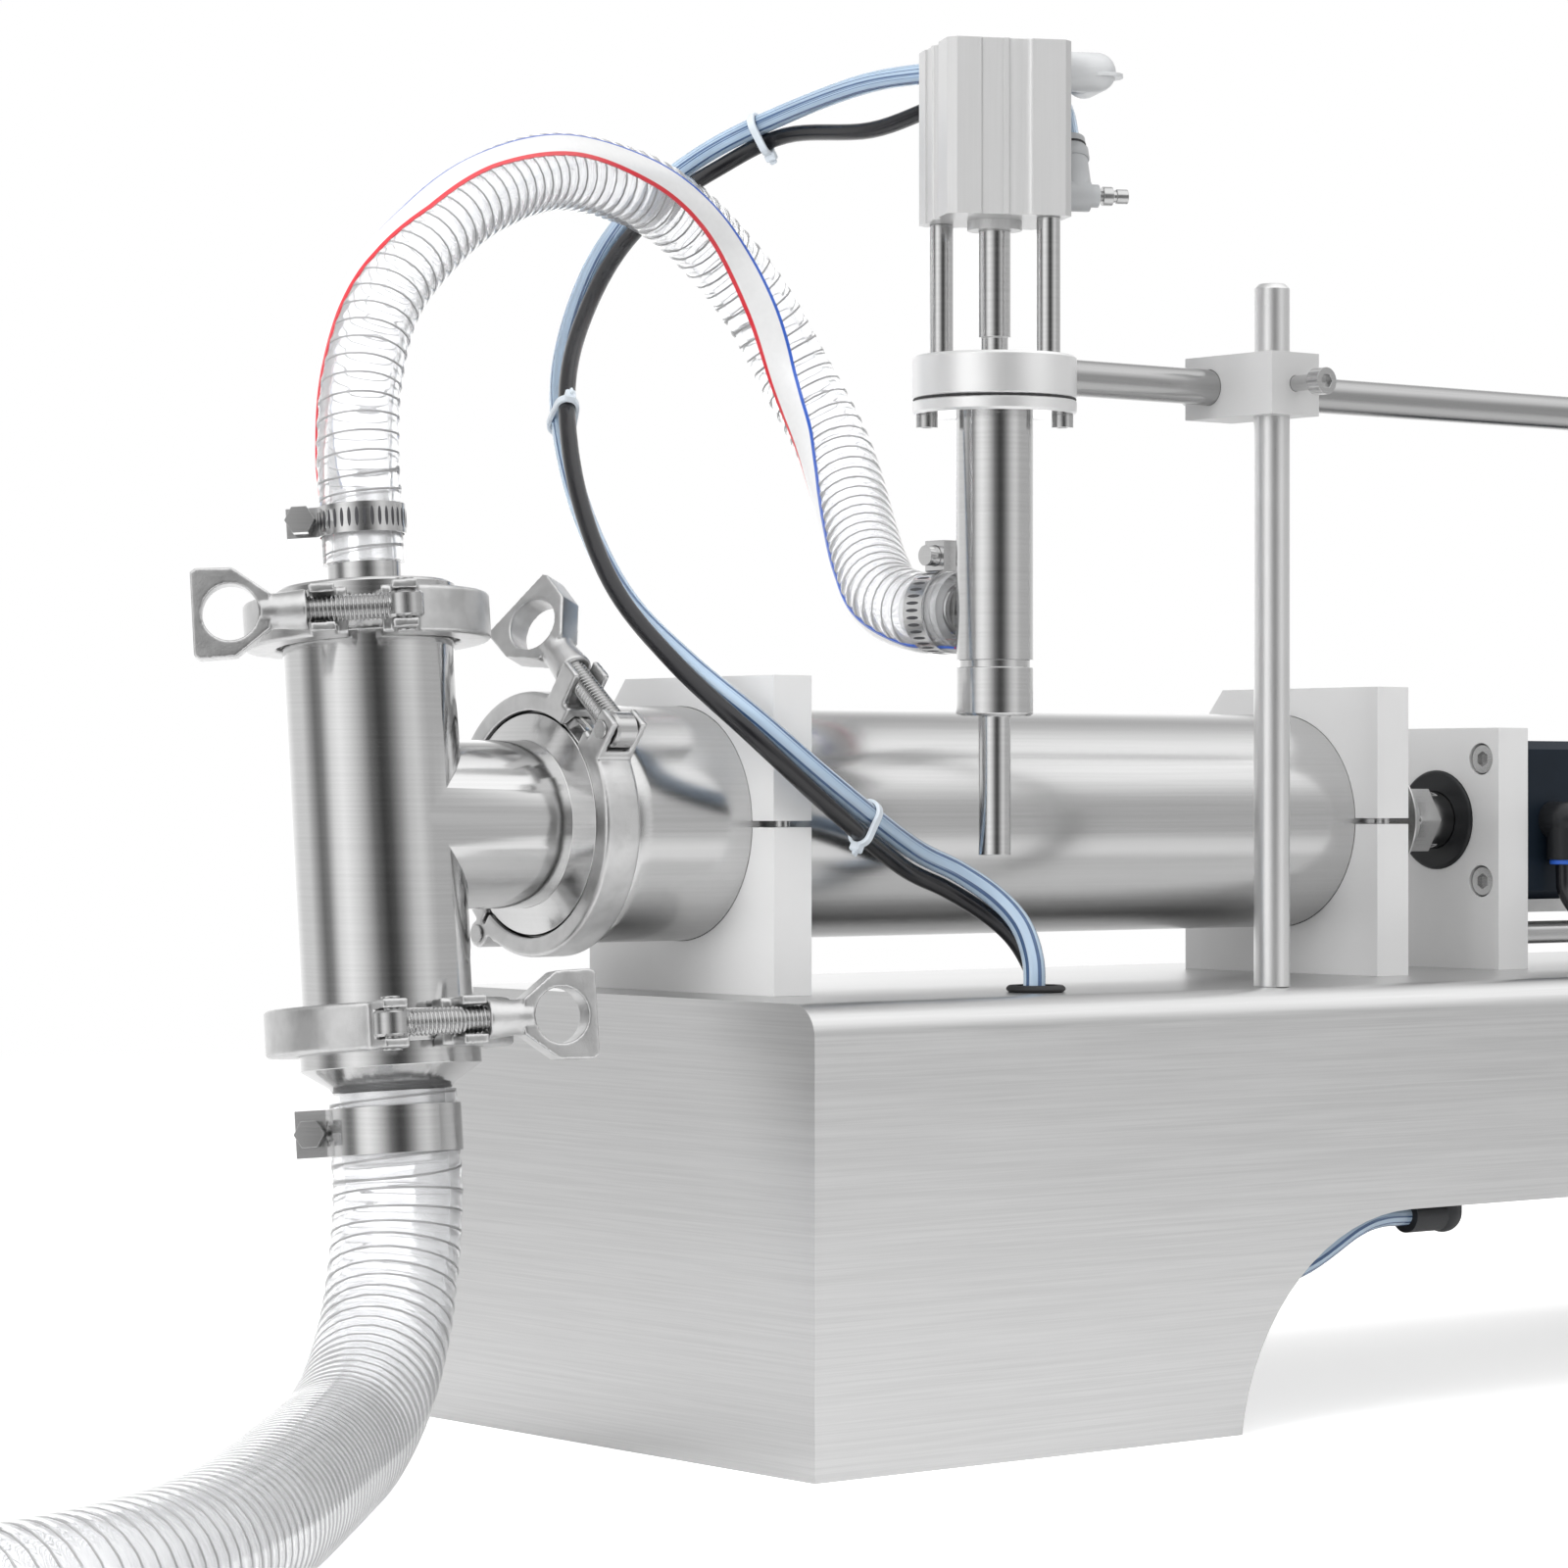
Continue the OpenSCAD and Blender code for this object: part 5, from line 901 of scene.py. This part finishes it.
nozzleSpot = onNozzle(0).translation
flangePlate = {"low": 318.6, "beyond": 12.8}
adjustingScrew = {"y": -21.0, "z": 152.5, "radius": 5.5, "end": 372.0}
secondFinish("nozzle_body", "satinFlange", lambda at: at.z > flangePlate["low"]
             and (at - nozzleSpot).xy.length > flangePlate["beyond"])
secondFinish("handwheel", "screwSteel", lambda at: at.x < adjustingScrew["end"] and math.hypot(
    at.y - adjustingScrew["y"], at.z - adjustingScrew["z"]) < adjustingScrew["radius"])


# Turned trim: seal between flange and plate, collars of the flow control, rings of the elbows
flowPort = {"height": 388, "out": 19.75, "rise": 6.7, "lean": -25}
elbowRings = {"places": {"frontElbowRing": 395.5, "rearElbowRing": 717.5}, "across": -34, "drop": 1.7}


def onFlowCollar(z):
    return (onNozzle(flowPort["height"]) @ turned(place["headTurn"], "Z") @ moved(flowPort["out"], 0, 0)
            @ turned(90, "Y") @ moved(0, 0, flowPort["rise"]) @ turned(flowPort["lean"], "Z")
            @ turned(-90, "Y") @ moved(0, 0, z))


turnedTrim = {
    "flangeSeal": {"matrix": onNozzle(323.8), "finish": "blackRubber", "like": "nozzle_flange",
                   "profile": [(24.2, -0.45), (25.1, -0.45), (25.4, 0), (25.1, 0.45), (24.2, 0.45)]},
    "flowCollar": {"matrix": onFlowCollar(12.4), "finish": "greyFitting", "like": "flow_control",
                   "profile": [(4.6, 0), (5.3, 0), (5.6, 0.4), (5.6, 3.6), (5.3, 4.0), (4.6, 4.0)]},
    "flowLine": {"matrix": onFlowCollar(17.0), "finish": "blackRubber", "like": "flow_control",
                 "profile": [(4.6, 0), (5.12, 0), (5.12, 0.8), (4.6, 0.8)]},
}
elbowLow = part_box("cylinder_elbows")[0][2] / mm
for name, along in elbowRings["places"].items():
    spot = moved(place["baseLeft"] + along, elbowRings["across"], elbowLow - elbowRings["drop"])
    turnedTrim[name] = {"matrix": spot, "finish": "blueRing", "like": "cylinder_elbows",
                        "profile": [(3.0, 0), (4.6, 0), (4.9, 0.3), (4.9, 1.6), (3.0, 1.6)]}
for name, trim in turnedTrim.items():
    rings = [[trim["matrix"] @ point * mm for point in ring] for ring in turnedRings(trim["profile"])]
    piece = newPiece(name, skinMesh(name, rings, closedAlong=True), trim["finish"])
    smoothFaces(piece.data, sharpAngle=40)
    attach(piece, bodyOf[trim["like"]])
print("turned trim made")

# Eye bolts: a round eye and a shank with its M8 thread
eyeBolt = {"eyeRadius": 5.4, "pinRadius": 2.05, "eyeHeight": 7.6, "chamfer": 0.8, "root": 3.4, "crest": 4.0,
           "pitch": 1.25, "start": 4.0, "end": 38.7, "plainStart": 0.6, "plainEnd": 1.2, "plain": 0.25,
           "sides": 30, "stepsPerTurn": 8, "boltOut": 5.0, "lug": 12.0}


def threadTooth(run, share):
    # How far the thread stands out, 0 to 1, at a place along the shank and round it
    if not eyeBolt["start"] + eyeBolt["plainStart"] < run < eyeBolt["end"] - eyeBolt["plainEnd"]:
        return eyeBolt["plain"]
    phase = (run / eyeBolt["pitch"] - share) % 1.0
    return max(0.0, min(1.0, abs(phase * 2 - 1) * 1.25 - 0.1))


def eyeBoltPiece(name, spot):
    stand = spot["matrix"] @ moved(spot["ring"] + eyeBolt["boltOut"], eyeBolt["lug"], 0)
    half, cut = eyeBolt["eyeHeight"] / 2, eyeBolt["chamfer"]
    r, pin = eyeBolt["eyeRadius"], eyeBolt["pinRadius"]
    outline = [(pin, -half), (r - cut, -half), (r, cut - half), (r, half - cut), (r - cut, half), (pin, half)]
    eye = skinMesh(name, turnedRings(outline), closedAlong=True)
    length, sides = eyeBolt["end"] - eyeBolt["start"], eyeBolt["sides"]
    steps = int(length / eyeBolt["pitch"] * eyeBolt["stepsPerTurn"])
    shank = []
    for i in range(steps + 1):
        run = eyeBolt["start"] + length * i / steps
        ring = []
        for k, angle in enumerate(roundAngles(sides)):
            radius = eyeBolt["root"] + (eyeBolt["crest"] - eyeBolt["root"]) * threadTooth(run, k / sides)
            ring.append((math.cos(angle) * radius, -run, math.sin(angle) * radius))
        shank.append(ring)
    rod = skinMesh(name + "Shank", shank, caps=True)
    work = bmesh.new()
    work.from_mesh(eye)
    work.from_mesh(rod)
    work.transform(Matrix.Diagonal((mm, mm, mm, 1.0)) @ stand)
    settle(work, eye)
    smoothFaces(eye, sharpAngle=40)
    return newPiece(name, eye, "screwSteel")


for side, spot in clamps.items():
    standFor(eyeBoltPiece(side + "EyeBolt", spot), side + "_eye_bolt")


# Slots of the hose clamps' perforated bands: dark ovals, painted shade where the band is open
def slotTree():
    # Long dark ovals all round a band that stands on the Z axis; they sit just proud of it and paint the shade
    # in the band's openings
    bench = newTree("bandSlots", {"Count": "Int", "Radius": "Float", "Wide": "Float", "Tall": "Float",
                                  "Deep": "Float", "Material": "Material"})
    ring = bench.add("GeometryNodeMeshCircle", {},
                     {"Vertices": given(bench, "Count"), "Radius": given(bench, "Radius")})
    oval = bench.add("GeometryNodeMeshUVSphere", {}, {"Segments": 16, "Rings": 8, "Radius": 1.0})
    spot = bench.split(bench.add("GeometryNodeInputPosition"))
    turn = bench.join(0.0, 0.0, spot[1].maths("ARCTAN2", spot[0]))
    size = bench.join(given(bench, "Deep"), given(bench, "Wide"), given(bench, "Tall"))
    placed = bench.add("GeometryNodeInstanceOnPoints", {},
                       {"Points": ring, "Instance": oval, "Rotation": turn, "Scale": size})
    return finishTree(bench, placed)


bandSlots = slotTree()
bandSlot = {"count": 36, "radius": 13.35, "wide": 0.55, "tall": 2.9, "deep": 0.08}
perforatedBands = {
    "outletSlots": {"matrix": onTee(91.0), "body": "frame"},
    "nozzleSlots": {"matrix": onNozzle(259.0) @ turned(-90, "X") @ moved(0, 0, 24.0), "body": "arm"},
}
for name, band in perforatedBands.items():
    # The slots' material is near black: painted shade where the band is open
    slots = shapeFrom(name, bpy.data.meshes.new(name), bandSlots,
                      {"Count": bandSlot["count"], "Radius": bandSlot["radius"] * mm,
                       "Wide": bandSlot["wide"] * mm, "Tall": bandSlot["tall"] * mm,
                       "Deep": bandSlot["deep"] * mm, "Material": finishes["slotDark"]})
    slots.data.transform(Matrix.Diagonal((mm, mm, mm, 1.0)) @ band["matrix"]
                         @ Matrix.Diagonal((1 / mm, 1 / mm, 1 / mm, 1.0)))
    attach(slots, band["body"])

# Valve springs, each wound between its poppet and its cage's bridge
spring = {"radius": 8.0, "wire": 0.7, "turns": 6.0, "steps": 40, "sides": 10, "gap": 0.1}
cage = {"height": 33.0, "seat": 6.0, "poppet": 4.0, "bridge": 4.0, "low": -61.0, "high": 61.0}


def springLine(low):
    turns = int(spring["turns"] * spring["steps"])
    start = low + cage["seat"] + cage["poppet"] + spring["wire"] + spring["gap"]
    length = low + cage["height"] - cage["bridge"] - spring["wire"] - spring["gap"] - start
    line = []
    for i in range(turns + 1):
        angle = 2 * math.pi * i / spring["steps"]
        line.append(Vector((spring["radius"] * math.cos(angle), spring["radius"] * math.sin(angle),
                            start + length * i / turns)))
    return line


matrix = onTee(0)
teeAxis = (matrix.to_3x3() @ Vector((0, 0, 1))).normalized()
for name, low in (("outlet", cage["high"] - cage["height"]), ("inlet", cage["low"])):
    line = [(matrix @ p) * mm for p in springLine(low)]
    rings = roundRings(line, teeAxis, spring["sides"], lambda i, angle: spring["wire"] * mm)
    piece = newPiece(name + "Spring", skinMesh(name + "Spring", rings, caps=True), "wireSteel")
    smoothFaces(piece.data, sharpAngle=60)
    standFor(piece, name + "_spring")
    name + "_valve_lift"
    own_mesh(piece)
print("bolts, slots and springs made")

# Floor; white and clear give the distances in which it turns white, and clear to a mirrored look
paleFloor = {"half": 60.0, "tone": 0.86, "rough": 0.9, "shine": 0.1, "glow": 0.60, "mirrorGlow": 0.15,
             "white": (0.9, 2.2), "clear": (0.45, 1.2)}
half = paleFloor["half"]
floorMesh = bpy.data.meshes.new("floor")
floorMesh.from_pydata([(-half, -half, 0), (half, -half, 0), (half, half, 0), (-half, half, 0)], [],
                      [(0, 1, 2, 3)])
floorBench = surface("paleFloor", Roughness=paleFloor["rough"], Base_Color=shade(paleFloor["tone"]),
                     Specular_IOR_Level=paleFloor["shine"])
x, y, z = floorBench.split(floorBench.spot())
away = (x * x + y * y).maths("SQRT")
byCamera, byGloss, byClear = floorBench.rays()
seen = (byCamera + byClear).maths("MINIMUM", 1.0)
plain = Wire(floorBench, floorBench.shader.outputs[0])
glowLevel = seen * paleFloor["glow"] + byGloss * paleFloor["mirrorGlow"]
glow = floorBench.add("ShaderNodeEmission", {}, {"Color": shade(1.0), "Strength": glowLevel})
lit = floorBench.add("ShaderNodeAddShader", {}, {0: plain, 1: glow})
white = floorBench.add("ShaderNodeEmission", {}, {"Color": shade(1.0), "Strength": 1.0})
whiteShare = away.step(*paleFloor["white"]) * seen
shown = floorBench.add("ShaderNodeMixShader", {}, {0: whiteShare, 1: lit, 2: white})
# Steel sees the studio's walls and not the floor's far end
clearEnd = floorBench.add("ShaderNodeBsdfTransparent")
farShare = away.step(*paleFloor["clear"]) * byGloss
shown = floorBench.add("ShaderNodeMixShader", {}, {0: farShare, 1: shown, 2: clearEnd})
floorBench.tree.links.new(shown.socket, floorBench.tree.nodes["Material Output"].inputs[0])
floorMesh.materials.append(floorBench.material)
floor = newPiece("floor", floorMesh)

# World; front and back are the ceiling's levels in steel
studio = {"diffuse": 0.62, "front": 1.40, "back": 0.52, "depth": (-0.15, 0.55), "rise": (0.22, 0.62),
          "brightest": 2.0, "cameraSide": (-1.2, -0.81)}
# How bright the studio's walls look in steel, by the turn from the camera's side: -180 to 180 degrees
walls = [(-180, 1.75), (-160, 1.2), (-132, 0.86), (-108, 0.86), (-96, 0.50), (-84, 0.20), (-74, 0.28),
         (-60, 0.98), (-46, 1.20), (-30, 0.90), (-18, 0.58), (-6, 0.20), (8, 0.05), (18, 0.10), (30, 0.34),
         (44, 0.72), (58, 0.86), (74, 0.58), (94, 0.56), (116, 0.56), (150, 0.85), (166, 1.25), (180, 1.75)]
world = bpy.data.worlds.new("studio")
bpy.context.scene.world = world
world.use_nodes = True
world.node_tree.nodes.clear()
sky = Bench(world.node_tree)
direction = sky.split(sky.spot("Generated"))
azimuth = direction[1].maths("ARCTAN2", direction[0])
turn = ((azimuth - math.atan2(*studio["cameraSide"])) * (0.5 / math.pi) + 1.5).maths("FRACT")
stops = [((degrees + 180) / 360, level / studio["brightest"]) for degrees, level in walls]
wall = sky.add("ShaderNodeValToRGB", {"stops": stops}, {0: turn})
wallLevel = sky.add("ShaderNodeSeparateColor", {}, {0: wall}) * studio["brightest"]
ceiling = studio["front"] + (studio["back"] - studio["front"]) * direction[1].step(*studio["depth"])
mirror = wallLevel + (ceiling - wallLevel) * direction[2].step(*studio["rise"])
isCamera, isGlossy, isThrough = sky.rays()
others = 1.0 - (isCamera + isGlossy + isThrough).maths("MINIMUM", 1.0)
strength = isCamera + isGlossy * mirror + isThrough + others * studio["diffuse"]
back = sky.add("ShaderNodeBackground", {}, {"Color": shade(1.0), "Strength": strength})
sky.add("ShaderNodeOutputWorld", {}, {"Surface": back})

softboxes = {
    "topBox": {"place": (-0.3, -0.2, 1.6), "aim": (-0.2, 0.0, 0.2), "size": (1.8, 1.2), "power": 9.0},
    "leftBox": {"place": (-1.9, -0.5, 0.9), "aim": (-0.2, 0.0, 0.2), "size": (0.9, 1.3), "power": 22.0},
    "frontBox": {"place": (0.2, -1.9, 0.9), "aim": (-0.1, 0.0, 0.2), "size": (1.4, 0.9), "power": 4.0},
}
for name, box in softboxes.items():
    lampData = bpy.data.lights.new(name, "AREA")
    lampData.shape = "RECTANGLE"
    lampData.size, lampData.size_y = box["size"]
    lampData.energy = box["power"]
    lamp = bpy.data.objects.new(name, lampData)
    lamp.location = box["place"]
    lamp.visible_glossy = False
    lamp.rotation_euler = (Vector(box["aim"]) - Vector(box["place"])).to_track_quat("-Z", "Y").to_euler()
    bpy.context.scene.collection.objects.link(lamp)
print("light set")
